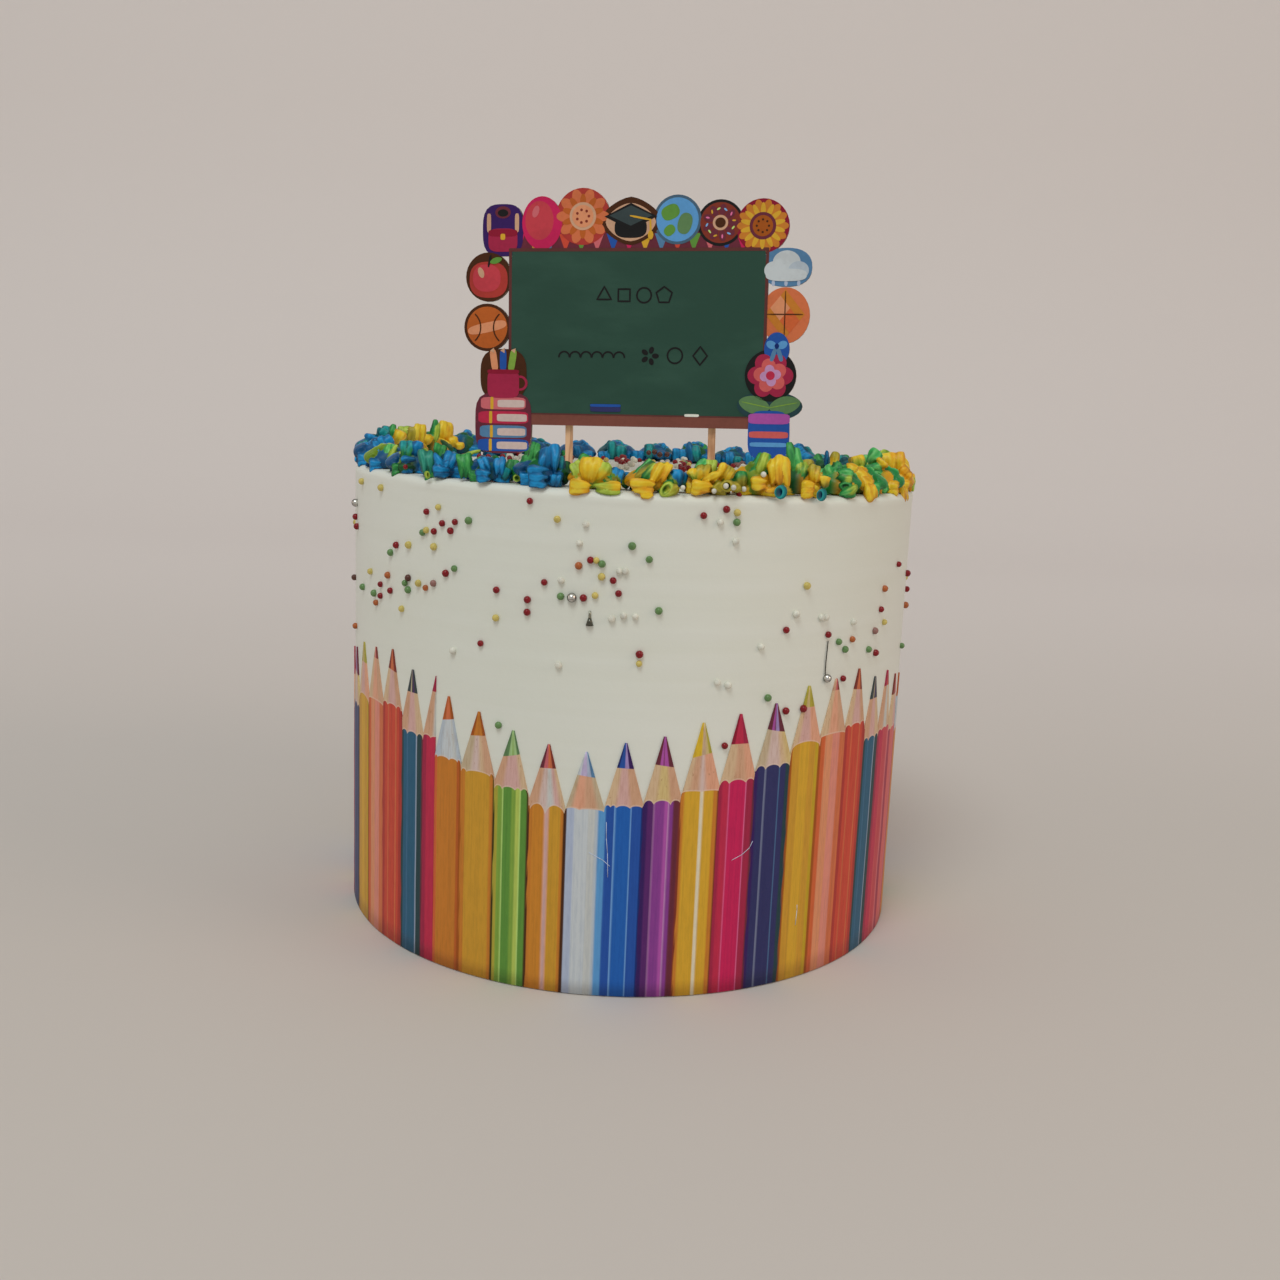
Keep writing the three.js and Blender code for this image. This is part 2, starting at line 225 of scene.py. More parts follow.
# Places picked on the photo are in pixels of its frame, and swirl_spot, wall_spot and
# top_spot bring them onto the cake. A Seen fold has its start and tip there, its half widths in
# pixels, its count of ribs, and how far out from the swirl's middle its start and tip stand, in
# millimetres. A Fold is all in millimetres: aside, up and out. Inks run from the start to the tip.
Seen = namedtuple("Seen", "inks x y tip_x tip_y wide tip_wide ribs out tip_out")
Fold = namedtuple("Fold", "inks aside up out tip_aside tip_up tip_out wide tip_wide ribs")
FAR_SWIRLS = range(10, 27)
FAR_OUT = 5                      # the far swirls' folds stand this much farther out
FULL_SWIRLS = range(5, 8)        # at the right, with fuller folds
FULLER = 1.2
FOLDS = {
    0: [
        Seen("mint", 630, 478, 652, 459, 2.5, 3, 1, 1, -1),
        Seen("olive green", 634, 480, 655, 463, 4, 4, 1, 2, 0),
        Seen("green lime", 641, 482, 657, 465, 4, 4, 1, 3, 1),
        Seen("gold", 648, 487, 663, 462, 3, 3.5, 1, 5, 2),
        Seen("honey gold", 658, 484, 670, 463, 3.5, 5, 2, 4, 1),
        Seen("gold", 656, 484, 630, 483, 3.5, 4.5, 1, 6, 7),
        Seen("honey gold", 655, 490, 633, 489, 3, 3, 1, 6.5, 7),
        Seen("gold", 654, 495, 641, 496, 2.5, 3, 1, 7, 8),
        Seen("lime olive", 660, 498, 678, 487, 2.5, 4.5, 1, 5, 5),
        Seen("navy blue", 676, 489, 677, 470, 5, 5, 1, 0, -1),
        Seen("forest navy", 683, 491, 683, 472, 4, 5, 1, -2, -3),
    ],
    1: [
        Seen("mint", 694, 470, 707, 459, 3, 3, 1, 0, -1),
        Seen("lime", 712, 478, 712, 459, 4, 5, 2, 1, -1),
        Seen("gold olive", 703, 482, 704, 465, 6, 7, 2, 3, 1),
        Seen("lime gold", 695, 482, 691, 468, 3, 4, 1, 4, 2),
        Seen("gold", 701, 481, 720, 473, 2.5, 3.5, 1, 5, 4),
        Seen("gold", 718, 478, 724, 463, 3, 3, 1, 4, 2),
        Seen("gold olive", 722, 482, 731, 466, 5, 6, 2, 2, 0),
        Seen("gold", 712, 485, 690, 485, 3.5, 4.5, 1, 6, 7),
        Seen("honey gold", 711, 491, 690, 490, 3, 3.5, 1, 6.5, 7),
        Seen("olive", 723, 491, 715, 484, 4, 5, 1, 5, 6),
        Seen("olive", 732, 491, 741, 485, 3.5, 5, 1, 5, 5),
        Seen("olive green", 741, 491, 741, 470, 5, 5, 1, -2, -3),
    ],
    2: [
        Seen("green", 750, 478, 762, 453, 5, 3, 2, 1, -1),
        Seen("lime", 758, 478, 766, 451, 4, 3, 1, 2, 0),
        Seen("green", 765, 478, 769, 454, 2.5, 2.5, 1, 1.5, 0),
        Seen("gold", 772, 486, 774, 458, 4, 4, 1, 4, 1),
        Seen("honey gold", 780, 488, 779, 453, 4.5, 4, 1, 4.5, 0.5),
        Seen("gold", 790, 488, 784, 458, 4.5, 3.5, 1, 4, 1),
        Seen("gold", 768, 481, 751, 480, 3, 3.5, 1, 6, 7),
        Seen("honey gold", 768, 487, 751, 486, 3, 3.5, 1, 6, 7),
        Seen("honey", 764, 491, 780, 490, 2.5, 2.5, 1, 6, 6),
    ],
    3: [
        Seen("green", 797, 478, 789, 443, 5, 3, 1, 0, -1),
        Seen("mint", 799, 474, 795, 449, 4, 4, 1, 1, -1),
        Seen("green lime", 801, 482, 802, 462, 4, 5, 2, 3, 1),
        Seen("olive", 808, 478, 808, 460, 4, 5, 1, 0, -1),
        Seen("gold olive", 813, 484, 816, 465, 4.5, 5.5, 2, 4, 2),
        Seen("olive gold", 824, 488, 827, 476, 4.5, 5, 1, 3, 2),
        Seen("gold", 817, 485, 801, 484, 3, 3.5, 1, 6, 6),
        Seen("honey gold", 817, 490, 800, 490, 3, 3, 1, 6.5, 6.5),
        Seen("gold", 816, 496, 801, 495, 2.5, 2.5, 1, 7, 7),
    ],
    4: [
        Seen("gold olive", 834, 468, 836, 451, 3.5, 3.5, 1, -2, -3),
        Seen("mint", 831, 480, 827, 467, 4, 4, 1, 1, 0),
        Seen("mint green", 838, 482, 838, 461, 4, 4, 2, 1, -1),
        Seen("mint", 836, 471, 853, 473, 2.5, 3.5, 1, 3, 3),
        Seen("green lime", 836, 477, 853, 479, 2.5, 3, 1, 3.5, 3.5),
        Seen("forest", 838, 486, 852, 486, 3.5, 4, 1, 3, 3),
        Seen("mint lime", 838, 494, 861, 488, 3, 4, 1, 4.5, 5),
        Seen("green", 838, 496, 858, 495, 2, 2, 1, 4, 4),
        Seen("gold", 846, 464, 858, 470, 3, 3.5, 1, 1, 2),
    ],
    5: [
        Fold("gold", 1.5, 4.6, 7, 4.2, -1.4, 9, 1.3, 1.5, 1),
        Seen("lime gold", 860, 468, 857, 455, 5, 5, 2, -2, -3),
        Seen("gold", 852, 466, 863, 480, 4, 5, 1, 2, 4),
        Seen("honey gold", 858, 478, 870, 487, 4.5, 5, 1, 4, 6),
        Seen("honey gold", 868, 485, 875, 500, 5.5, 7.5, 2, 6, 8),
    ],
    6: [
        Seen("mint", 868, 464, 879, 450, 4, 4.5, 1, -1, -2),
        Seen("green mint", 864, 470, 882, 470, 5, 5, 2, 1, 2),
        Seen("green mint", 874, 474, 882, 488, 4.5, 5, 2, 3, 4),
        Seen("mint", 880, 486, 887, 491, 2.5, 3, 1, 4, 5),
        Seen("gold", 880, 466, 884, 461, 4, 4, 1, 1, 1),
    ],
    7: [
        Fold("gold honey", 2.9, 3, 7, 4.3, -3, 9, 1.6, 1.9, 1),
        Seen("gold", 888, 474, 886, 452, 5, 5, 1, 0, -1),
        Seen("gold honey", 896, 474, 896, 452, 6, 7, 2, 1, -1),
        Seen("honey", 901, 478, 910, 470, 5, 6, 2, 1, 2),
        Seen("gold", 890, 482, 903, 482, 4, 4, 1, 3, 4),
        Seen("honey gold", 896, 486, 901, 502, 6, 7.5, 2, 4, 6),
    ],
    11: [
        Seen("mint", 866, 466, 867, 455, 4, 4, 1, 0, 0),
    ],
    12: [
        Seen("olive", 853, 468, 854, 456, 4, 4, 1, 0, 0),
    ],
    13: [
        Seen("navy", 826, 468, 827, 451, 2.5, 1.5, 1, 0, 0),
    ],
    15: [
        Seen("blue", 752, 468, 752, 451, 6, 7, 2, 0, 0),
        Seen("forest", 761, 464, 759, 450, 4, 4, 1, 0, 0),
    ],
    16: [
        Seen("navy", 719, 464, 718, 454, 3, 3, 1, 0, 0),
        Seen("navy blue", 731, 466, 729, 452, 5, 4, 2, 0, 0),
        Seen("teal", 737, 466, 738, 456, 4, 4, 1, 0, 0),
    ],
    17: [
        Seen("blue", 679, 464, 680, 449, 6, 7, 2, 0, 0),
        Seen("navy", 691, 464, 689, 440, 4, 2, 1, 0, 0),
        Seen("teal", 697, 462, 695, 444, 4, 4, 1, 0, 0),
    ],
    18: [
        Seen("blue", 638, 462, 638, 450, 5, 6, 2, 0, 0),
        Seen("teal", 650, 460, 649, 444, 4, 4, 1, 0, 0),
        Seen("navy", 660, 460, 660, 450, 5, 5, 1, 0, 0),
    ],
    19: [
        Seen("blue", 606, 462, 604, 451, 5, 6, 2, 0, 0),
        Seen("teal", 612, 460, 612, 441, 3.5, 3.5, 1, 0, 0),
        Seen("teal", 620, 460, 621, 445, 4, 5, 1, 0, 0),
    ],
    20: [
        Seen("navy", 580, 460, 577, 445, 4, 3, 1, 0, 0),
        Seen("blue", 588, 460, 588, 451, 5, 5, 2, 0, 0),
    ],
    21: [
        Seen("green", 528, 458, 530, 446, 5, 5, 2, 0, 0),
        Seen("blue", 541, 458, 542, 448, 6, 6, 2, 0, 0),
    ],
    22: [
        Seen("blue", 478, 450, 474, 441, 6, 6, 1, 0, 0),
        Seen("teal", 490, 450, 488, 442, 5, 5, 1, 0, 0),
    ],
    23: [
        Seen("gold", 441, 446, 444, 421, 4, 4, 1, 1, 0),
        Seen("honey gold", 448, 446, 449, 423, 3.5, 3.5, 1, 1, 0),
        Seen("gold", 454, 447, 452, 436, 4, 4, 1, 1, 1),
        Seen("gold", 460, 450, 459, 442, 4, 4, 1, 1, 1),
    ],
    24: [
        Seen("gold", 424, 446, 428, 434, 4, 5, 1, 2, 2),
        Seen("green", 430, 442, 436, 420, 3, 2.5, 1, 0, 0),
        Seen("lime", 435, 444, 438, 423, 2.5, 2.5, 1, 1, 0),
    ],
    25: [
        Seen("lime", 404, 444, 404, 426, 5, 6, 2, 0, 0),
        Seen("olive", 411, 444, 412, 426, 4, 5, 1, 0, 0),
        Seen("gold", 419, 444, 421, 424, 5, 5, 2, 1, 0),
    ],
    26: [
        Seen("teal", 384, 444, 386, 426, 4, 4, 1, 0, 0),
        Seen("green", 391, 444, 394, 424, 3, 2.5, 1, 0, 0),
        Seen("gold", 396, 444, 402, 431, 4, 5, 1, 2, 2),
    ],
    27: [
        Seen("blue", 366, 462, 356, 454, 5, 6.5, 2, 2, 2),
        Seen("teal", 366, 450, 362, 441, 5, 5, 2, 1, 1),
        Seen("blue", 370, 442, 372, 434, 5, 5, 1, 0, 0),
        Seen("teal", 380, 438, 385, 429, 5, 5, 1, -1, -2),
    ],
    28: [
        Seen("blue", 376, 466, 371, 450, 6, 7, 2, 3, 2),
        Seen("blue", 384, 452, 376, 438, 5, 7, 2, 1, 0),
        Seen("blue", 380, 446, 392, 438, 3, 5, 1, 0, -1),
        Seen("navy", 374, 468, 373, 460, 4, 4, 1, 3, 3),
    ],
    29: [
        Seen("mint", 386, 462, 392, 444, 5, 5, 2, 2, 0),
        Seen("lime", 387, 463, 397, 444, 1.8, 2, 1, 3, 1),
        Seen("forest", 392, 470, 391, 462, 4, 5, 1, 1, 1),
    ],
    30: [
        Seen("green teal", 406, 460, 407, 441, 5, 7, 2, 2, 0),
        Seen("blue", 415, 456, 419, 442, 3.5, 4.5, 1, 2, 1),
        Seen("navy blue", 417, 459, 400, 459, 2.5, 3, 1, 4, 4),
        Seen("forest", 416, 467, 398, 467, 3, 4, 1, 3.5, 3.5),
        Seen("navy", 414, 472, 402, 472, 2.5, 2.5, 1, 4, 4),
    ],
    31: [
        Seen("sea", 428, 476, 425, 450, 6.5, 8, 2, 3, 1),
        Seen("green", 437, 460, 441, 444, 5, 6, 2, -1, -2),
        Seen("blue", 446, 472, 452, 452, 5, 6.5, 2, 3, 1),
        Seen("blue", 434, 452, 441, 467, 3, 3.5, 1, 5, 6),
        Seen("blue", 440, 466, 449, 463, 3, 3, 1, 6, 5),
        Seen("blue", 451, 470, 432, 468, 2.5, 3, 1, 6.5, 7),
        Seen("navy", 451, 475, 431, 474, 2.5, 3, 1, 7, 7.5),
    ],
    32: [
        Seen("green", 466, 480, 463, 454, 6, 8, 3, 2, 0),
        Seen("lime", 462, 455, 482, 450, 1.5, 1.5, 1, -1, -1),
        Seen("blue", 488, 474, 481, 457, 5, 5.5, 2, 5, 3),
        Seen("blue", 499, 476, 500, 457, 5, 5.5, 2, 5, 3),
        Seen("blue", 492, 473, 474, 473, 2.5, 3, 1, 6.5, 7.5),
        Seen("navy blue", 492, 479, 474, 479, 2.5, 3, 1, 7, 8),
        Seen("teal", 503, 480, 508, 468, 3, 4, 1, 4, 3),
        Seen("green", 511, 480, 514, 460, 5, 6.5, 2, 2, 0),
        Seen("green", 520, 482, 524, 466, 4, 5, 1, 2, 0),
    ],
    33: [
        Seen("green", 531, 468, 536, 442, 5.5, 5, 2, -1, -2),
        Seen("green", 523, 470, 528, 456, 4, 4, 1, -1, -2),
        Seen("blue", 540, 470, 545, 449, 3, 3.5, 1, 3, 0),
        Seen("navy", 547, 472, 549, 446, 3, 3.5, 1, 2.5, -0.5),
        Seen("blue", 554, 474, 555, 445, 4, 4.5, 1, 3.5, 0),
        Seen("navy teal", 560, 478, 561, 456, 3, 3.5, 1, 1, -1),
        Seen("blue", 550, 469, 527, 470, 3, 3.5, 1, 6, 7),
        Seen("blue", 549, 477, 526, 477, 3, 3.5, 1, 6.5, 7.5),
        Seen("navy blue", 549, 485, 528, 484, 3.5, 3.5, 1, 7, 8),
        Seen("navy blue", 554, 488, 557, 474, 4.5, 5.5, 2, 5, 5),
        Seen("forest", 565, 485, 565, 462, 4, 5, 1, -2, -3),
    ],
    34: [
        Seen("lime", 582, 482, 574, 461, 5, 6.5, 2, 2, 0),
        Seen("green", 578, 470, 587, 454, 4, 5, 1, -1, -2),
        Fold("gold", -3, 1.9, 4, -2.8, 10.1, 1, 1.5, 2, 1),
        Fold("gold", -1.5, 2.2, 4, 0.2, 9.8, 1.4, 1.3, 1.8, 1),
        Fold("gold lime", -0.1, 2.5, 3, 3, 8.3, 1, 1.6, 2, 1),
        Seen("gold", 591, 485, 569, 484, 3.5, 5, 1, 6, 7),
        Seen("honey gold", 591, 491, 569, 491, 3, 3.4, 1, 6, 7),
        Seen("lime gold", 592, 485, 620, 486, 3, 4, 1, 6, 7),
        Seen("lime", 594, 491, 620, 492, 2, 2.5, 1, 6, 7),
        Seen("green", 600, 482, 611, 475, 3, 5, 1, 2, 1),
        Seen("blue", 615, 488, 619, 468, 5, 6, 2, 1, 0),
        Seen("forest navy", 626, 490, 626, 472, 4, 5, 1, -2, -3),
    ],
}
# Rolled ends: inks of the rim and of the painted shade in the hollow, place and half sizes in pixels
# of the photo, turn in degrees, and how far out they stand in millimetres
Curl = namedtuple("Curl", "swirl inks x y long_half short_half turn out")
CURLS = [
    Curl(0, "lime green", 666, 489, 9, 5.5, 55, 6),
    Curl(1, "olive forest", 728, 486, 7, 6.5, 0, 6.5),
    Curl(2, "teal navy", 785, 493, 7.6, 7.4, 0, 7.5),
    Curl(3, "teal navy", 829, 496, 7.4, 6.6, 0, 7.5),
    Curl(4, "green forest", 846, 486, 7.5, 4, 0, 4.5),
    Curl(31, "lime olive", 422, 475, 4.6, 4.2, -20, 7.5),
    Curl(32, "lime green", 517, 478, 4.6, 4, 20, 7),
    Curl(34, "green forest", 607, 479, 5.5, 4, -20, 3),
]


# ------------------------------------------------------------------------------ places and shapes


def top_rise(x, y):
    """How far the cake's top face stands above its middle height, all in millimetres."""
    return -y * math.tan(math.radians(TOP_FALL_BACK)) - x * math.tan(math.radians(TOP_FALL_RIGHT))


def wall_radius(z):
    return BASE_RADIUS + (TOP_RADIUS - BASE_RADIUS) * z / CAKE_HEIGHT


def around(angle, radius, z):
    """A place at an angle to the right of the front, in millimetres."""
    turn = math.radians(angle)
    return Vector((radius * math.sin(turn), -radius * math.cos(turn), z))


def smooth(low, high, value):
    share = min(max((value - low) / (high - low), 0), 1)
    return share * share * (3 - 2 * share)


def ripple(value):
    """Rounded crests with sharp valleys between them, one crest to each unit: from 0 to 1."""
    return abs(math.sin(math.pi * value))


def finish_piece(name, shape, finish, replaces=(), smooth_faces=True):
    """Turns a bmesh in millimetres into a piece of the object."""
    bmesh.ops.scale(shape, vec=(MM, MM, MM), verts=shape.verts)
    mesh = bpy.data.meshes.new(name)
    shape.to_mesh(mesh)
    shape.free()
    mesh.materials.append(finish)
    mesh.shade_smooth() if smooth_faces else mesh.shade_flat()
    piece = bpy.data.objects.new(name, mesh)
    bpy.context.scene.collection.objects.link(piece)
    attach(piece, "root")
    if replaces:
        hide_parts(*replaces)
    return piece


def spun(profile, steps, axis=(0, 0, 1)):
    """A closed shape turned round an axis through the origin, from points that start and end on it."""
    shape = bmesh.new()
    points = [shape.verts.new(point) for point in profile]
    edges = [shape.edges.new(pair) for pair in zip(points, points[1:])]
    bmesh.ops.spin(shape, geom=points + edges, cent=(0, 0, 0), axis=axis, angle=math.tau,
                   steps=steps, use_merge=True, use_duplicate=False)
    bmesh.ops.remove_doubles(shape, verts=shape.verts, dist=1e-4)
    bmesh.ops.recalc_face_normals(shape, faces=shape.faces)
    return shape


# --------------------------------------------------------------------- the camera and the photo

CAMERA_PLACE = Vector((0, -531.34, 211.39))
CAMERA_YAW = 0.485
CAMERA_PITCH = -11.997
CAMERA_ROLL = 2.384
CAMERA_LENS = 39.39
SENSOR_WIDTH = 36
PHOTO_SIZE = 1280                # pixels, each way


def camera_axes():
    """The camera's right, its up and its way ahead."""
    yaw, pitch, roll = (math.radians(a) for a in (CAMERA_YAW, CAMERA_PITCH, CAMERA_ROLL))
    ahead = Vector((math.sin(yaw) * math.cos(pitch), math.cos(yaw) * math.cos(pitch),
                    math.sin(pitch)))
    level = ahead.cross(Vector((0, 0, 1))).normalized()
    upright = level.cross(ahead)
    right = level * math.cos(roll) + upright * math.sin(roll)
    up = upright * math.cos(roll) - level * math.sin(roll)
    return right, up, ahead


def photo_ray(x, y):
    """From the camera through a pixel of the photo, one long in the way ahead."""
    right, up, ahead = camera_axes()
    pixel = SENSOR_WIDTH / CAMERA_LENS / PHOTO_SIZE
    return ahead + (right * (x - PHOTO_SIZE / 2) + up * (PHOTO_SIZE / 2 - y)) * pixel


def swirl_frame(index):
    """A swirl's middle on the top face, its way to the camera, its way aside, and its height."""
    low, high = (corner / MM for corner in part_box(f"swirl_{index + 1:02d}"))
    x, y = (low.x + high.x) / 2, (low.y + high.y) / 2
    front = Vector((CAMERA_PLACE.x - x, CAMERA_PLACE.y - y, 0)).normalized()
    middle = Vector((x, y, CAKE_HEIGHT + top_rise(x, y)))
    return middle, front, Vector((-front.y, front.x, 0)), high.z - low.z


def swirl_spot(index, x, y, out):
    """Aside and up of a pixel of the photo, as far out from a swirl's middle, to 0.1 mm."""
    middle, front, across, _ = swirl_frame(index)
    base = CAMERA_PLACE - middle
    ray = photo_ray(x, y)
    spot = base + ray * ((out - base.dot(front)) / ray.dot(front))
    return round(spot.dot(across), 1), round(spot.z, 1)


def pixels_per_mm(index, out):
    """Pixels of the photo to a millimetre, as far out from a swirl's middle."""
    middle, front, _, _ = swirl_frame(index)
    depth = (middle + front * out - CAMERA_PLACE).dot(camera_axes()[2])
    return PHOTO_SIZE * CAMERA_LENS / SENSOR_WIDTH / depth


def wall_spot(x, y):
    """Angle and height of a pixel of the photo on the wall, in whole degrees and millimetres."""
    ray = photo_ray(x, y)
    flat = ray.xy.length_squared
    near = CAMERA_PLACE.xy.dot(ray.xy)
    spare = CAMERA_PLACE.xy.length_squared - BASE_RADIUS ** 2
    way = -(near + math.sqrt(max(near * near - flat * spare, 0))) / flat
    place = CAMERA_PLACE + ray * way
    return round(math.degrees(math.atan2(place.x, -place.y))), round(place.z)


def top_spot(x, y):
    """X, y and lift over the top face of a pixel there, brought nearer where it is far back."""
    ray = photo_ray(x, y)
    start = CAMERA_PLACE.z - top_rise(CAMERA_PLACE.x, CAMERA_PLACE.y) - CAKE_HEIGHT
    fall = top_rise(ray.x, ray.y) - ray.z
    place = CAMERA_PLACE + ray * ((start - HEAP_SIGHT) / fall)
    lift = HEAP_LIFT
    if place.y > HEAP_BACK:
        place = CAMERA_PLACE + ray * ((HEAP_BACK - CAMERA_PLACE.y) / ray.y)
        lift = round(place.z - CAKE_HEIGHT - top_rise(place.x, place.y), 1)
    return round(place.x, 1), round(place.y, 1), lift


# --------------------------------------------------------------------------------------- finishes


class Wire:
    """A node's output. Arithmetic on it adds Math nodes."""

    def __init__(self, finish, socket):
        self.finish = finish
        self.socket = socket

    def maths(self, operation, *values):
        return self.finish.node("Math", {"operation": operation}, dict(enumerate(values)))

    def __add__(self, other):
        return self.maths("ADD", self, other)

    __radd__ = __add__

    def __sub__(self, other):
        return self.maths("SUBTRACT", self, other)

    def __rsub__(self, other):
        return self.maths("SUBTRACT", other, self)

    def __mul__(self, other):
        return self.maths("MULTIPLY", self, other)

    __rmul__ = __mul__

    def __truediv__(self, other):
        return self.maths("DIVIDE", self, other)

    def __rtruediv__(self, other):
        return self.maths("DIVIDE", other, self)

    def __pow__(self, other):
        return self.maths("POWER", self, other)

    def __abs__(self):
        return self.maths("ABSOLUTE", self)


class Finish:
    """A material and its node tree."""

    def __init__(self, name):
        self.material = bpy.data.materials.new(name)
        self.material.use_nodes = True
        self.tree = self.material.node_tree
        self.tree.nodes.clear()

    def node(self, kind, settings=None, sockets=None, out=0):
        """Adds a node of any kind: its settings first, then the values or links of its sockets."""
        made = self.tree.nodes.new("ShaderNode" + kind)
        for name, value in (settings or {}).items():
            if name == "stops":
                ramp = made.color_ramp.elements
                while len(ramp) < len(value):
                    ramp.new(0.5)
                for stop, (place, colour) in zip(ramp, value):
                    stop.position = place
                    stop.color = colour
            else:
                setattr(made, name, value)
        for name, value in (sockets or {}).items():
            if isinstance(value, Wire):
                self.tree.links.new(value.socket, made.inputs[name])
            else:
                made.inputs[name].default_value = value
        return Wire(self, made.outputs[out]) if made.outputs else None

    def mix(self, factor, first, second, blend="MIX"):
        """Two colours mixed: all of the second where the factor is 1."""
        return self.node("Mix", {"data_type": "RGBA", "blend_type": blend, "clamp_factor": True},
                         {0: factor, 6: first, 7: second}, out=2)

    def step(self, value, low, high):
        """Rises smoothly from 0 to 1 as the value goes from low to high."""
        return self.node("MapRange", {"interpolation_type": "SMOOTHSTEP"},
                         {"Value": value, "From Min": low, "From Max": high})

    def attribute(self, name, out="Color"):
        return self.node("Attribute", {"attribute_name": name}, out=out)

    def place(self):
        return self.node("TexCoord", out="Object")

    def stretched(self, vector, scale):
        return self.node("Mapping", {}, {"Vector": vector, "Scale": scale})

    def noise(self, vector, scale, detail=3.0, roughness=0.5):
        return self.node("TexNoise", {}, {"Vector": vector, "Scale": scale, "Detail": detail,
                                          "Roughness": roughness})

    def bump(self, height, distance, strength=1.0):
        return self.node("Bump", {}, {"Height": height, "Distance": distance,
                                      "Strength": strength})

    def surface(self, **sockets):
        """Ends the tree in one shader, with its sockets named in words joined by underscores."""
        named = {name.replace("_", " "): value for name, value in sockets.items()}
        shader = self.node("BsdfPrincipled", {}, named)
        self.node("OutputMaterial", {}, {"Surface": shader})
        return self.material


def icing_finish():
    """Buttercream, scraped smooth: faint bands of warmer and cooler white, and fine pores."""
    finish = Finish("icing")
    place = finish.place()
    clouds = finish.noise(place, 9.0)
    bands = finish.noise(finish.stretched(place, (6, 6, 260)), 1.0, 4.0)
    tint = finish.step(clouds * 0.7 + bands * 0.3, 0.35, 0.65)
    colour = finish.mix(tint, seen(0xBCBEB5), seen(0xBFC1BA))
    pores = finish.noise(place, 900.0, 2.0)
    height = bands * 0.6 + pores * 0.25
    return finish.surface(Base_Color=colour, Roughness=0.42 + bands * 0.12,
                          Normal=finish.bump(height, 0.0002, 0.5), Specular_IOR_Level=0.35)


def sheet_finish():
    """Edible paper: printed pencils with grainy inks, wood with its grain, and a low gloss."""
    finish = Finish("printed_sheet")
    flat = finish.node("UVMap", {"uv_map": "print"})
    paint = finish.attribute("paint")
    wood = finish.attribute("wood")
    point = finish.attribute("point")
    above_paint = finish.attribute("above_paint", "Fac")
    above_wood = finish.attribute("above_wood", "Fac")
    streaks = finish.noise(finish.stretched(flat, (1500, 16, 1)), 1.0, 3.0)
    blotches = finish.noise(finish.stretched(flat, (900, 150, 1)), 1.0, 4.0, 0.65)
    grain = finish.noise(finish.stretched(flat, (1300, 130, 1)), 1.0, 4.0, 0.7)
    speck = finish.step(finish.noise(finish.stretched(flat, (900, 500, 1)), 1.0, 2.0), 0.66, 0.74)
    worn = finish.step(streaks * 0.5 + blotches * 0.5, 0.4, 0.66)
    painted = finish.mix(worn, paint, (0.84, 0.86, 0.9, 1), "MULTIPLY")
    grained = finish.mix(finish.step(grain, 0.42, 0.68), wood, (0.86, 0.8, 0.76, 1), "MULTIPLY")
    grained = finish.mix(speck * 0.45, grained, seen(0x8C6446))
    lead = finish.mix(finish.step(blotches, 0.35, 0.7) * 0.25, point, (0.05, 0.02, 0.03, 1))
    rim = finish.step(above_paint, -0.15, 0.1) * (1 - finish.step(above_paint, 0.25, 0.6))
    cone = finish.mix(finish.step(above_wood, -0.12, 0.12), grained, lead)
    colour = finish.mix(finish.step(above_paint, -0.12, 0.12), painted, cone)
    colour = finish.mix(rim * 0.4, colour, seen(0xC3AFA0))
    height = streaks * 0.3 + finish.noise(finish.place(), 120.0, 2.0) * 0.7
    return finish.surface(Base_Color=colour, Roughness=0.4 + blotches * 0.14,
                          Normal=finish.bump(height, 0.0002, 0.5), Specular_IOR_Level=0.25)


def piped_finish():
    """Coloured buttercream: its two colours run into each other in streaks."""
    finish = Finish("piped_icing")
    place = finish.place()
    ink = finish.attribute("icing")
    streaks = finish.noise(place, 420.0, 3.0)
    colour = finish.mix(finish.step(streaks, 0.42, 0.7), ink, (0.88, 0.9, 0.9, 1), "MULTIPLY")
    return finish.surface(Base_Color=colour, Roughness=0.34 + streaks * 0.14,
                          Normal=finish.bump(streaks, 0.0002, 0.4), Specular_IOR_Level=0.35)


def paper_finish():
    """The card itself: white board, its cut edges darker."""
    finish = Finish("card_board")
    fibres = finish.noise(finish.stretched(finish.place(), (900, 900, 300)), 1.0, 4.0)
    facing = finish.node("NewGeometry", out="Normal")
    front = finish.node("VectorMath", {"operation": "DOT_PRODUCT"},
                        {0: facing, 1: card_turn() @ Vector((0, 1, 0))}, out="Value")
    edge = 1 - finish.step(abs(front), 0.4, 0.8)
    white = finish.mix(finish.step(fibres, 0.3, 0.7), seen(0xBEB9AF), seen(0xC6C2BA))
    colour = finish.mix(edge, white, seen(0x5F5348))
    return finish.surface(Base_Color=colour, Roughness=0.75, Normal=finish.bump(fibres, 0.0001))


def print_finish():
    """Printed fields on the card: flat inks under a thin matt film."""
    finish = Finish("card_print")
    ink = finish.attribute("ink")
    mottle = finish.noise(finish.place(), 700.0, 3.0)
    cloud = finish.noise(finish.stretched(finish.place(), (60, 60, 110)), 1.0, 4.0)
    colour = finish.mix(finish.step(mottle * 0.4 + cloud * 0.6, 0.4, 0.66), ink,
                        (0.88, 0.88, 0.88, 1), "MULTIPLY")
    return finish.surface(Base_Color=colour, Roughness=0.45 + mottle * 0.1,
                          Normal=finish.bump(mottle, 0.00005, 0.4), Specular_IOR_Level=0.2)


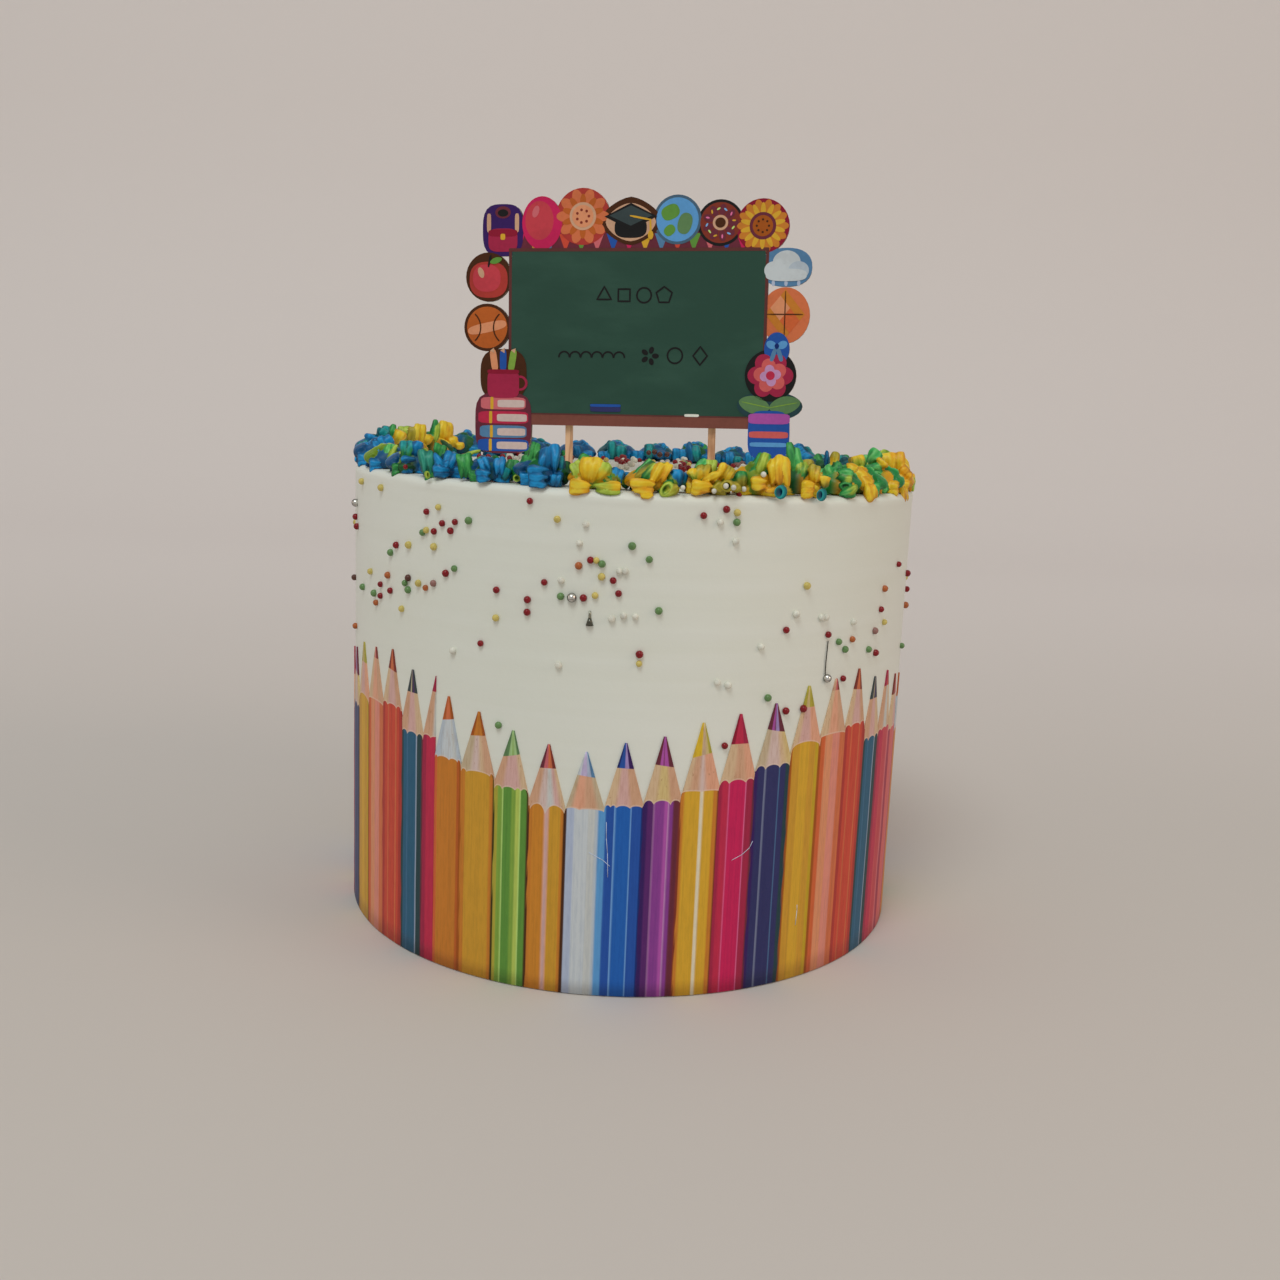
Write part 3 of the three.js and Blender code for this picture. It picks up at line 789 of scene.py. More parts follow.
def board_finish():
    """The printed chalkboard: deep green with wiped chalk left in wide soft arcs."""
    finish = Finish("chalkboard")
    place = finish.place()
    wipes = finish.noise(finish.stretched(place, (22, 22, 60)), 1.0, 5.0, 0.6)
    grain = finish.noise(place, 900.0, 2.0)
    colour = finish.mix(finish.step(wipes, 0.4, 0.8) * 0.4, seen(0x223D33), seen(0x355347))
    return finish.surface(Base_Color=colour, Roughness=0.5 + grain * 0.1,
                          Normal=finish.bump(grain, 0.00005, 0.4), Specular_IOR_Level=0.2)


def stick_finish():
    """Thin plywood: long pale grain, browner in the pores."""
    finish = Finish("stick")
    grain = finish.noise(finish.stretched(finish.place(), (900, 900, 60)), 1.0, 5.0)
    colour = finish.mix(finish.step(grain, 0.35, 0.7), seen(0xC09A78), seen(0x96694A))
    return finish.surface(Base_Color=colour, Roughness=0.65, Normal=finish.bump(grain, 0.0002))


def pearl_finish(name, colour):
    """Hard sugar with a thin glaze and a little cloudiness."""
    finish = Finish("pearl_" + name)
    cloud = finish.noise(finish.place(), 500.0, 2.0)
    base = seen(colour)
    shade = finish.mix(finish.step(cloud, 0.4, 0.7), base, (0.8, 0.8, 0.8, 1), "MULTIPLY")
    return finish.surface(Base_Color=shade, Roughness=0.22 + cloud * 0.1, Specular_IOR_Level=0.4)


def metal_finish(name, tone, roughness):
    """Silvered sugar or bare wire: the tone attribute, which holds the beads' painted reflection, a
    little tarnished.
    """
    finish = Finish(name)
    tarnish = finish.noise(finish.place(), 700.0, 3.0)
    shade = finish.mix(finish.step(tarnish, 0.45, 0.7) * 0.5, finish.attribute(tone),
                       (0.6, 0.58, 0.54, 1), "MULTIPLY")
    return finish.surface(Base_Color=shade, Metallic=1.0, Roughness=roughness + tarnish * 0.1)


# ------------------------------------------------------------------------------------ the icing

WALL_ROW = 1.5                   # height of a row of faces on the wall
TOP_RING = 3.5
WALL_STEPS = 288
LIP_DROP = 2.6                   # of the scraped lip, below the rim


def cake_profile():
    """The wall's foot, wall, rim and top, as (radius, height)."""
    points = [(0, 0), (BASE_RADIUS - FOOT_ROUNDING, 0)]
    points += [(BASE_RADIUS - FOOT_ROUNDING * (1 - math.sin(math.radians(turn))),
                FOOT_ROUNDING * (1 - math.cos(math.radians(turn)))) for turn in (30, 60, 90)]
    rows = round((CAKE_HEIGHT - RIM_ROUNDING - FOOT_ROUNDING) / WALL_ROW)
    for row in range(1, rows):
        z = FOOT_ROUNDING + row * (CAKE_HEIGHT - RIM_ROUNDING - FOOT_ROUNDING) / rows
        points.append((wall_radius(z), z))
    for turn in range(0, 91, 15):
        inset = RIM_ROUNDING * (1 - math.cos(math.radians(turn)))
        rise = RIM_ROUNDING * math.sin(math.radians(turn))
        points.append((TOP_RADIUS - inset, CAKE_HEIGHT - RIM_ROUNDING + rise))
    rings = round((TOP_RADIUS - RIM_ROUNDING) / TOP_RING)
    points += [((TOP_RADIUS - RIM_ROUNDING) * (1 - ring / rings), CAKE_HEIGHT)
               for ring in range(1, rings + 1)]
    return points


def scraped(point):
    """Relief of the icing, in millimetres outwards: bands of the scraper and its slow waver."""
    bands = noise.noise(Vector((point.x / 70, point.y / 70, point.z / 1.9)))
    waver = noise.noise(Vector((point.x / 45, point.y / 45, point.z / 60 + 7)))
    relief = 0.07 * bands + 0.16 * waver
    lip_height = CAKE_HEIGHT - LIP_DROP + 0.5 * noise.noise(point / 18)
    lip = math.exp(-((point.z - lip_height) / 0.7) ** 2)
    return relief + lip * (0.22 + 0.3 * noise.noise(point / 9 + Vector((3, 0, 0))))


def make_cake():
    shape = spun([(radius, 0, z) for radius, z in cake_profile()], WALL_STEPS)
    for vert in shape.verts:
        point = vert.co.copy()
        radius = math.hypot(point.x, point.y)
        wall = smooth(2, 6, point.z) * smooth(TOP_RADIUS - 9, TOP_RADIUS - 3, radius)
        if radius > 1:
            vert.co += Vector((point.x, point.y, 0)) * (wall * scraped(point) / radius)
        if point.z > CAKE_HEIGHT - RIM_ROUNDING:
            swept = noise.noise(Vector((radius / 9, math.atan2(point.y, point.x) * 2, 0)))
            rim_wave = noise.noise(point / 14) * smooth(TOP_RADIUS - 9, TOP_RADIUS, radius)
            vert.co.z += 0.22 * swept * smooth(TOP_RADIUS, TOP_RADIUS - 6, radius) * 0.5
            vert.co.z += 0.3 * rim_wave
        vert.co.z += top_rise(point.x, point.y) * point.z / CAKE_HEIGHT
    finish_piece("icing_body", shape, icing_finish(), ["cake_body"])


# ------------------------------------------------------------------------------ the printed sheets

COLUMNS = 36                     # of faces across a pencil
BODY_ROWS = 12
CONE_ROWS = 12
INK_BLEED = 0.016                # of a pencil's width


def blend_inks(strips, across, bleed=INK_BLEED):
    """The ink at a place across a pencil: neighbours run into each other over a short way."""
    starts = sorted(strips)
    colour = Vector(seen(INKS[strips[starts[0]]]))
    for start in starts[1:]:
        share = smooth(start - bleed, start + bleed, across)
        colour = colour.lerp(Vector(seen(INKS[strips[start]])), share)
    return colour


def paint_edge(pencil, across):
    """Height of the paint's scalloped upper edge at a place across a pencil."""
    dips = (0, *pencil.facets, 1)
    for left, right in zip(dips, dips[1:]):
        if across <= right:
            off_middle = (across - (left + right) / 2) / ((right - left) / 2)
            arch = math.sqrt(max(1 - off_middle * off_middle, 0))
            return pencil.shoulder - pencil.arch * 0.7 + pencil.arch * arch
    return pencil.shoulder


def add_pencil(shape, layers, pencil, left, valleys):
    """One printed pencil: a grid of faces, straight up to the shoulder and narrowing above it."""
    grid = bmesh.ops.create_grid(shape, x_segments=COLUMNS, y_segments=BODY_ROWS + CONE_ROWS,
                                 size=0.5)["verts"]
    shoulder_row = BODY_ROWS / (BODY_ROWS + CONE_ROWS)
    for vert in grid:
        across = vert.co.x + 0.5
        up = vert.co.y + 0.5
        off_side = 1 - abs(2 * across - 1)
        valley = valleys[0] if across < 0.5 else valleys[1]
        shoulder = valley + (pencil.shoulder - valley) * min(off_side * 3, 1)
        cone = max((up - shoulder_row) / (1 - shoulder_row), 0)
        body = min(up / shoulder_row, 1)
        width = pencil.width * (1 - cone) + TIP_WIDTH * cone
        along = left + pencil.width / 2 + (across - 0.5) * width
        z = SHEET_FOOT + (shoulder - SHEET_FOOT) * body + (pencil.tip - shoulder) * cone
        vert.co = Vector((along, 0, z))
        vert[layers["paint"]] = blend_inks(pencil.paint, across)
        vert[layers["wood"]] = blend_inks(pencil.wood, across, 0.09)
        vert[layers["point"]] = blend_inks(pencil.point, across, 0.04)
        vert[layers["above_paint"]] = z - paint_edge(pencil, across)
        vert[layers["above_wood"]] = z - pencil.base - pencil.slant * (0.5 - across)


def make_sheet(name, start, end, finish):
    shape = bmesh.new()
    layers = {ink: shape.verts.layers.float_color.new(ink) for ink in ("paint", "wood", "point")}
    layers.update({edge: shape.verts.layers.float.new(edge)
                   for edge in ("above_paint", "above_wood")})
    left = math.radians(start) * SHEET_RADIUS
    stop = math.radians(end) * SHEET_RADIUS
    before = PENCILS[0].shoulder
    for pencil, following in zip(PENCILS, PENCILS[1:] + PENCILS[:1]):
        if left > stop:
            break
        valleys = ((before + pencil.shoulder) / 2, (pencil.shoulder + following.shoulder) / 2)
        add_pencil(shape, layers, pencil, left, valleys)
        before = pencil.shoulder
        left += pencil.width
    bmesh.ops.remove_doubles(shape, verts=shape.verts, dist=0.01)
    everything = shape.verts[:] + shape.edges[:] + shape.faces[:]
    bmesh.ops.bisect_plane(shape, geom=everything, plane_co=(stop, 0, 0), plane_no=(1, 0, 0),
                           dist=0.005, clear_outer=True)
    uv = shape.loops.layers.uv.new("print")
    for face in shape.faces:
        for loop in face.loops:
            loop[uv].uv = (loop.vert.co.x * MM, loop.vert.co.z * MM)
    inner = shape.verts[:]
    raised = bmesh.ops.extrude_face_region(shape, geom=shape.faces[:])["geom"]
    outer = {part for part in raised if isinstance(part, bmesh.types.BMVert)}
    for vert in inner + list(outer):
        along, z = vert.co.x, vert.co.z
        lift = SHEET_OUTSIDE if vert in outer else SHEET_INSIDE
        lift += 0.1 * noise.noise(Vector((along / 11, z / 16, 0)))
        vert.co = around(math.degrees(along / SHEET_RADIUS), wall_radius(z) + lift, z)
    bmesh.ops.recalc_face_normals(shape, faces=shape.faces)
    finish_piece(name + "_print", shape, finish, [name])


# ------------------------------------------------------------------------------------ the swirls

FOLD_SIDES = 16
FOLD_STEPS = 10
FOLD_BULGE = 0.12                # of a fold's length, outwards at its middle
GROOVES = 8                      # fine ridges round a fold
SWIRL_LIMIT = 105.5              # farthest that a swirl hangs out from the cake's middle
SWIRL_EASE = 103                 # from here outwards it is pressed back
SKIN_VOXEL = 0.4


TONE_COLOURS = {name: [Vector(seen(tone)) for tone in tones] for name, tones in TONES.items()}


def icing_colour(inks, along, crest):
    """Painted shade in the creases and painted highlight on the crests, the first ink running into the
    last.
    """
    names = inks.split()
    tones = []
    for name in (names[0], names[-1]):
        # the first tone is painted shade for the creases, the last a painted highlight for the crests
        crease_shade, middle, light = TONE_COLOURS[name]
        tone = crease_shade.lerp(middle, smooth(0, 0.7, crest))
        tones.append(tone.lerp(light, 0.8 * smooth(0.6, 1, crest)))
    return tones[0].lerp(tones[1], smooth(0.35, 0.75, along))


def add_fold(shape, layer, pattern, fold, rng):
    """One fold of ribs side by side, in the swirl's own (aside, up, out). Pattern is a sphere."""
    inks, aside0, up0, out0, aside1, up1, out1, wide0, wide1, ribs = fold
    start = Vector((aside0, up0, out0))
    along = Vector((aside1, up1, out1)) - start
    across = Vector((-along.y, along.x, 0)).normalized()
    face = along.cross(across).normalized()
    face = -face if face.z < 0 else face
    for rib in range(ribs):
        off = (2 * rib + 1) / ribs - 1
        length = rng.uniform(0.95, 1.06)
        lift = rng.uniform(-0.2, 0.25) - 0.5 * off * off
        seed = Vector((rng.uniform(0, 90), rng.uniform(0, 90), 0))
        copied = bmesh.ops.duplicate(shape, geom=pattern)["geom"]
        for vert in (part for part in copied if isinstance(part, bmesh.types.BMVert)):
            share = (1 + vert.co.z) / 2
            turn = math.atan2(vert.co.y, vert.co.x)
            groove = 1 - ripple(turn / math.tau * GROOVES)
            wobble = noise.noise(vert.co * 1.3 + seed)
            wide = wide0 + (wide1 - wide0) * share
            taper = 1.5 * max(share, 0) ** 0.5 * max(1 - share, 0) ** 0.24
            half = 1.5 * wide / ribs * taper * (1 - 0.1 * groove)
            side = math.copysign(abs(math.cos(turn)) ** 0.9, math.cos(turn))
            front = math.copysign(abs(math.sin(turn)) ** 1.1, math.sin(turn))
            # crest carries painted light: lighter where a rib faces out, painted shade in its grooves
            # and towards the pinch at its start
            crest = math.sin(turn) - 0.4 * groove + 0.5 * wobble - 0.5 * smooth(0.3, 0, share)
            vert[layer] = icing_colour(inks, share + 0.4 * wobble, crest)
            bend = FOLD_BULGE * along.length * math.sin(math.pi * share)
            vert.co = (start + along * (share * length)
                       + across * (off * wide + half * side + 0.6 * wobble)
                       + face * (half * front + lift + bend + 0.5 * wobble))


def add_curl(shape, layer, curl):
    """A rolled end: a round rim with a painted highlight and a hollow with painted shade."""
    rim, hollow = curl.inks.split()
    aside, up = swirl_spot(curl.swirl, curl.x, curl.y, curl.out)
    scale = pixels_per_mm(curl.swirl, curl.out)
    long_half, short_half = round(curl.long_half / scale, 1), round(curl.short_half / scale, 1)
    cos, sin = math.cos(math.radians(curl.turn)), math.sin(math.radians(curl.turn))
    verts = bmesh.ops.create_uvsphere(shape, u_segments=28, v_segments=24, radius=1)["verts"]
    for vert in verts:
        radius = math.hypot(vert.co.x, vert.co.y)
        inside = 1 - smooth(0.3, 0.62, radius)
        depth = vert.co.z * short_half
        if vert.co.z > 0:
            depth = short_half * (0.9 * math.sin(math.pi * min(radius, 1) ** 1.7) - 0.9 * inside)
        # painted highlight along the rim's crest, and the hollow painted in the deep tone of its ink
        # as painted shade
        crest = 1 - abs(radius - 0.78) / 0.3
        ink = icing_colour(rim, 0, crest)
        dark = Vector(seen(TONES[hollow][0]))
        vert[layer] = ink.lerp(dark, inside if vert.co.z > 0 else 0)
        px, py = vert.co.x * long_half, vert.co.y * short_half
        vert.co = Vector((aside + px * cos - py * sin, up + px * sin + py * cos,
                          curl.out + depth))


def placed(index, fold):
    """A fold seen on the photo as one in millimetres on its swirl."""
    if isinstance(fold, Fold):
        return fold
    farther = FAR_OUT if index in FAR_SWIRLS else 0
    out, tip_out = fold.out + farther, fold.tip_out + farther
    scale = pixels_per_mm(index, (out + tip_out) / 2) / (FULLER if index in FULL_SWIRLS else 1)
    return Fold(fold.inks, *swirl_spot(index, fold.x, fold.y, out), out,
                *swirl_spot(index, fold.tip_x, fold.tip_y, tip_out), tip_out,
                round(fold.wide / scale, 1), round(fold.tip_wide / scale, 1), fold.ribs)


def plain_folds(rng, inks, height, wide):
    """Folds of a swirl side that the camera doesn't see."""
    fan_left, fan_right, foot_left, foot_right = inks
    lean = rng.uniform(-0.2, 0.2) * wide
    low = rng.uniform(0.12, 0.2) * height
    top = rng.uniform(0.66, 0.8) * height
    return [
        (foot_left, -0.1 * wide, low, 5, -0.98 * wide, low - 0.2, 6.4, 1.4, 2.4, rng.choice((2, 3))),
        (foot_right, 0.1 * wide, low + 0.3, 5, 0.96 * wide, low, 6.6, 1.4, 2.5, 2),
        (fan_left, -0.12 * wide, 0.3 * height, 5, -0.54 * wide + lean, top, 0.5, 2, 3.2, 2),
        (fan_right, 0.2 * wide, 0.3 * height, 5, 0.5 * wide + lean, top * 0.94, 0.5, 2.2, 3.4, 3),
        (rng.choice((fan_left, fan_right)), lean, 0.4 * height, 1, 1.4 * lean,
         0.92 * height, -0.5, 2.2, 1.2, 1),
        (fan_left, -0.55 * wide, 0.2 * height, 1, -0.88 * wide, 0.56 * height, 0, 2, 2.6, 1),
        (fan_right, 0.55 * wide, 0.2 * height, 1, 0.86 * wide, 0.6 * height, 0, 2, 2.6, 1),
    ]


def add_core(shape, layer, inks, height, wide, rng):
    """The swirl's middle, a mound painted in the creases' shade tone and lighter towards its top:
    painted shade and painted light.
    """
    seed = Vector((rng.uniform(0, 90), 0, 0))
    verts = bmesh.ops.create_uvsphere(shape, u_segments=40, v_segments=20, radius=1)["verts"]
    for vert in verts:
        wobble = 1 + 0.16 * noise.noise(vert.co * 1.6 + seed)
        vert[layer] = icing_colour(inks, (1 + vert.co.x) / 2, -0.1 + 0.4 * vert.co.z)
        rise = 0.36 * vert.co.z if vert.co.z > 0 else 0.3 * vert.co.z
        vert.co = Vector((vert.co.x * wobble * 0.58 * wide, height * (0.24 + rise * wobble * 0.8),
                          vert.co.y * wobble * 4))


def melted(shape):
    """The folds as one skin that keeps their colours."""
    layer = shape.verts.layers.float_color["icing"]
    lookup = BVHTree.FromBMesh(shape)
    shape.faces.ensure_lookup_table()
    loose = bpy.data.objects.new("loose_folds", bpy.data.meshes.new("loose_folds"))
    shape.to_mesh(loose.data)
    bpy.context.scene.collection.objects.link(loose)
    skin = loose.modifiers.new("skin", "REMESH")
    skin.mode = "VOXEL"
    skin.voxel_size = SKIN_VOXEL
    whole = bmesh.new()
    whole.from_object(loose, bpy.context.evaluated_depsgraph_get())
    bpy.data.objects.remove(loose)
    bmesh.ops.smooth_vert(whole, verts=whole.verts, factor=0.7, use_axis_x=True,
                          use_axis_y=True, use_axis_z=True)
    new_layer = whole.verts.layers.float_color.new("icing")
    for vert in whole.verts:
        place, _, number, _ = lookup.find_nearest(vert.co)
        corners = shape.faces[number].verts
        shares = poly_3d_calc([corner.co for corner in corners], place)
        vert[new_layer] = sum((corner[layer] * share for corner, share in zip(corners, shares)),
                              Vector((0, 0, 0, 0)))
    shape.free()
    return whole


def make_swirl(index, finish):
    """One piped swirl: folds towards the camera or outwards, and plain ones behind them."""
    node = f"swirl_{index + 1:02d}"
    middle, facing, _, height = swirl_frame(index)
    outwards = Vector((middle.x, middle.y, 0)).normalized()
    wide = SWIRL_WIDTH / 2
    rng = random.Random(500 + index)
    inks = SWIRL_INKS[index].split()
    if index in FOLDS:
        back = 0.64 if 9 < index < 27 else 0.72
        sides = [(facing, [placed(index, fold) for fold in FOLDS[index]], 0),
                 (facing, plain_folds(rng, inks, height * 0.7, wide * 0.78), -4),
                 (-facing, plain_folds(rng, inks, height * back, wide * 0.9), 0)]
    else:
        sides = [(outwards, plain_folds(rng, inks, height, wide), 0),
                 (-outwards, plain_folds(rng, inks, height, wide), 0)]
    shape = bmesh.new()
    layer = shape.verts.layers.float_color.new("icing")
    pattern = bmesh.ops.create_uvsphere(shape, u_segments=FOLD_SIDES, v_segments=FOLD_STEPS,
                                        radius=1)["verts"]
    sphere = pattern + list({edge for vert in pattern for edge in vert.link_edges})
    sphere += list({face for vert in pattern for face in vert.link_faces})
    for order, (front, folds, push) in enumerate(sides):
        before = set(shape.verts)
        for fold in folds:
            add_fold(shape, layer, sphere, fold, rng)
        if order == 0:
            add_core(shape, layer, f"{inks[0]} {inks[1]}", height, wide, rng)
            for curl in CURLS:
                if curl.swirl == index:
                    add_curl(shape, layer, curl)
        aside = Vector((-front.y, front.x, 0))
        for vert in shape.verts:
            if vert not in before:
                local = vert.co.copy()
                vert.co = (middle + aside * local.x + front * (local.z + push)
                           + Vector((0, 0, local.y)))
    bmesh.ops.delete(shape, geom=pattern, context="VERTS")
    shape = melted(shape)
    spare = SWIRL_LIMIT - SWIRL_EASE
    for vert in shape.verts:
        radius = math.hypot(vert.co.x, vert.co.y)
        if radius > SWIRL_EASE:
            eased = SWIRL_EASE + spare * (1 - math.exp((SWIRL_EASE - radius) / spare))
            vert.co.x *= eased / radius
            vert.co.y *= eased / radius
            radius = eased
        floor_height = CAKE_HEIGHT + top_rise(vert.co.x, vert.co.y) + 0.1
        if radius < TOP_RADIUS - 1 and vert.co.z < floor_height:
            vert.co.z = floor_height
    bmesh.ops.recalc_face_normals(shape, faces=shape.faces)
    finish_piece(f"piped_{node}", shape, finish, [node])


# ------------------------------------------------------------------------------------- the pearls

PEARL_COLOURS = {
    "red": 0x700410, "orange": 0x924E26, "yellow": 0xAE9E56, "green": 0x547445,
    "white": 0xBCBBB0, "pink": 0x7C5852, "wine": 0x4A2A22,
}
# Pearls pressed into the wall: pixels of the photo. Those at the rim are set lower.
WALL_PEARLS = {
    "red": [(356, 516), (357, 526), (428, 513), (444, 524), (455, 522), (449, 531), (434, 530),
        (397, 545), (382, 586), (390, 590), (382, 597), (445, 572), (497, 591), (528, 600),
        (526, 612), (483, 644), (528, 500), (547, 584), (581, 598), (614, 581), (620, 593),
        (590, 560), (639, 653), (727, 508), (706, 515), (784, 630), (826, 636),
        (874, 652), (844, 679), (787, 710), (801, 709), (723, 746), (898, 565), (907, 573),
        (907, 589), (880, 610)],
    "orange": [(389, 575), (377, 604), (425, 588), (577, 566), (356, 625), (884, 590),
        (851, 640), (906, 606)],
    "yellow": [(362, 481), (381, 488), (439, 507), (555, 519), (408, 544), (435, 546), (371, 572),
        (419, 584), (403, 608), (425, 529), (600, 578), (597, 595), (495, 619), (639, 664),
        (738, 512), (808, 587), (883, 621), (596, 560)],
    "green": [(421, 531), (470, 522), (391, 553), (406, 582), (408, 589), (375, 594), (363, 586),
        (560, 597), (600, 564), (635, 545), (648, 560), (657, 611), (455, 570), (735, 521),
        (837, 641), (845, 649), (867, 651), (768, 699), (901, 645), (498, 724)],
    "white": [(580, 542), (588, 524), (563, 580), (618, 572), (624, 572), (610, 617), (622, 616),
        (636, 618), (455, 651), (556, 666), (822, 618), (827, 618), (853, 623), (796, 615),
        (763, 646), (715, 683), (730, 684), (720, 522), (738, 540)],
    "pink": [(874, 631), (432, 582)],
    "wine": [(408, 578), (355, 577)],
}
PEARL_RADIUS = 1.15
SPRAYS = [(100, 138), (124, 150), (146, 128), (171, 142), (196, 118), (214, 146), (238, 132),
          (262, 150)]            # middles of the handfuls on the hidden side
SPRAY_SIZE = 15
TOP_PEARLS = 190
# Pairs that show between the swirls: pixels of the photo for the first of each
HEAPS = {
    "red": [(617, 459), (622, 457), (626, 460), (621, 462), (682, 463), (686, 467), (681, 468),
        (687, 462), (489, 447), (493, 449), (497, 452), (512, 451), (516, 453), (520, 449),
        (569, 457), (565, 458)],
    "white": [(619, 466), (625, 466), (630, 463), (633, 459), (678, 461), (683, 459), (741, 468),
        (743, 466), (501, 451), (507, 448), (521, 456), (509, 455)],
    "pink": [(737, 464), (741, 463)],
}
HEAP_PARTNER = (2.2, 0.8)        # in pixels from the first pearl to the second
HEAP_SIGHT = 1.2                 # height over the top face at which a pixel is met
HEAP_LIFT = 1
HEAP_BACK = 80                   # no pearl lies farther back than this
# Pearls caught in the swirls: pixels of the photo, and millimetres out
Caught = namedtuple("Caught", "colour swirl x y out")
CAUGHT = [
    Caught("white", 2, 763.5, 474.5, 7.4), Caught("white", 1, 726, 486, 8.2),
    Caught("white", 1, 733.5, 487.5, 7), Caught("white", 2, 744, 489, 7.6),
    Caught("white", 1, 714, 491, 7.6), Caught("white", 4, 817, 494, 7),
    Caught("white", 0, 683, 487.5, 6.5), Caught("red", 30, 405.5, 467, 7.4),
    Caught("red", 2, 739, 495, 8),
]
CAUGHT_SIZE = 0.74               # of a pearl that shows whole


def spray_places(rng):
    """Handfuls of pearls thrown at the hidden side of the wall: colour, angle and height."""
    colours = ["red", "red", "yellow", "green", "white", "white", "orange"]
    for angle, z in SPRAYS:
        for _ in range(SPRAY_SIZE):
            yield rng.choice(colours), angle + rng.gauss(0, 7), min(z + rng.gauss(0, 9), 158)


def top_places(rng):
    """Pearls strewn on the top face, most of them near the swirls: colour and place."""
    colours = ["red", "red", "red", "white", "white", "green", "yellow", "orange"]
    for _ in range(TOP_PEARLS):
        radius = 86 - abs(rng.gauss(0, 22))
        angle = rng.uniform(0, 360)
        yield rng.choice(colours), around(angle, radius, 0)


def heap_places():
    """Pearls that show between the swirls: colour, then x, y and lift over the top face."""
    for colour, pixels in HEAPS.items():
        for x, y in pixels:
            yield colour, top_spot(x, y)
            yield colour, top_spot(x + HEAP_PARTNER[0], y + HEAP_PARTNER[1])
    for place in [(5.6, 80, 4.3), (8.1, 80, 4.7), (10.4, 80, 3.7), top_spot(572, 457),
                  (13.6, 80, 3.9), top_spot(486, 450), (-62.4, 80, 2.6)]:
        yield "wine", place


def make_pearls():
    rng = random.Random(7)
    centres = {colour: [] for colour in PEARL_COLOURS}
    for colour, pixels in WALL_PEARLS.items():
        for angle, z in sorted(wall_spot(x, y) for x, y in pixels):
            place = around(angle, wall_radius(z) + PEARL_RADIUS * 0.45, z)
            centres[colour].append((place, 1))
    for colour, angle, z in spray_places(rng):
        centres[colour].append((around(angle, wall_radius(z) + PEARL_RADIUS * 0.4, z), 1))
    for colour, place in top_places(rng):
        lift = CAKE_HEIGHT + top_rise(place.x, place.y) + PEARL_RADIUS * 0.6
        centres[colour].append((place + Vector((0, 0, lift)), 1))
    for colour, (x, y, lift) in heap_places():
        place = Vector((x, y, CAKE_HEIGHT + top_rise(x, y) + lift))
        centres[colour].append((place, 1))
    for pearl in CAUGHT:
        middle, front, across, _ = swirl_frame(pearl.swirl)
        aside, up = swirl_spot(pearl.swirl, pearl.x, pearl.y, pearl.out)
        place = middle + across * aside + front * pearl.out + Vector((0, 0, up))
        centres[pearl.colour].append((place, CAUGHT_SIZE))
    for colour, places in centres.items():
        shape = bmesh.new()
        for place, size in places:
            radius = PEARL_RADIUS * size * rng.uniform(0.9, 1.12)
            bmesh.ops.create_uvsphere(shape, u_segments=8, v_segments=6, radius=radius,
                                      matrix=Matrix.Translation(place))
        finish_piece("pearls_" + colour, shape, pearl_finish(colour, PEARL_COLOURS[colour]))


# Silver beads: angle, height and radius
BEADS = [(-10, 132.9, 1.5), (39.4, 105.2, 1.4), (-72.2, 151.2, 1.4)]
WIRE = [(38.9, 106.6), (38.9, 111), (39.1, 117.8)]   # angle and height
DROP = (-6.8, 124.4)
PAINTED_GLINTS = [                    # painted glints: pale lines standing for light caught in the gloss of the sheets, angle and height from end to end
    [(-5.5, 49.9), (-4.6, 49), (-3, 47.6), (-1.7, 45.6)],
    [(-2.6, 60.4), (-2.5, 55), (-2.2, 50), (-2, 42)],
    [(24.6, 52.6), (24, 50.4), (22.6, 48.4), (20.6, 46.8)],
    [(35.6, 26.8), (35.7, 24.8), (35.5, 19.6)],
]


def add_string(shape, places, thickness):
    """Thin straight lengths from place to place."""
    for start, end in zip(places, places[1:]):
        way = end - start
        turn = Matrix.Translation((start + end) / 2)
        turn = turn @ way.to_track_quat("Z", "Y").to_matrix().to_4x4()
        bmesh.ops.create_cone(shape, cap_ends=True, segments=8, radius1=thickness,
                              radius2=thickness, depth=way.length * 1.03, matrix=turn)


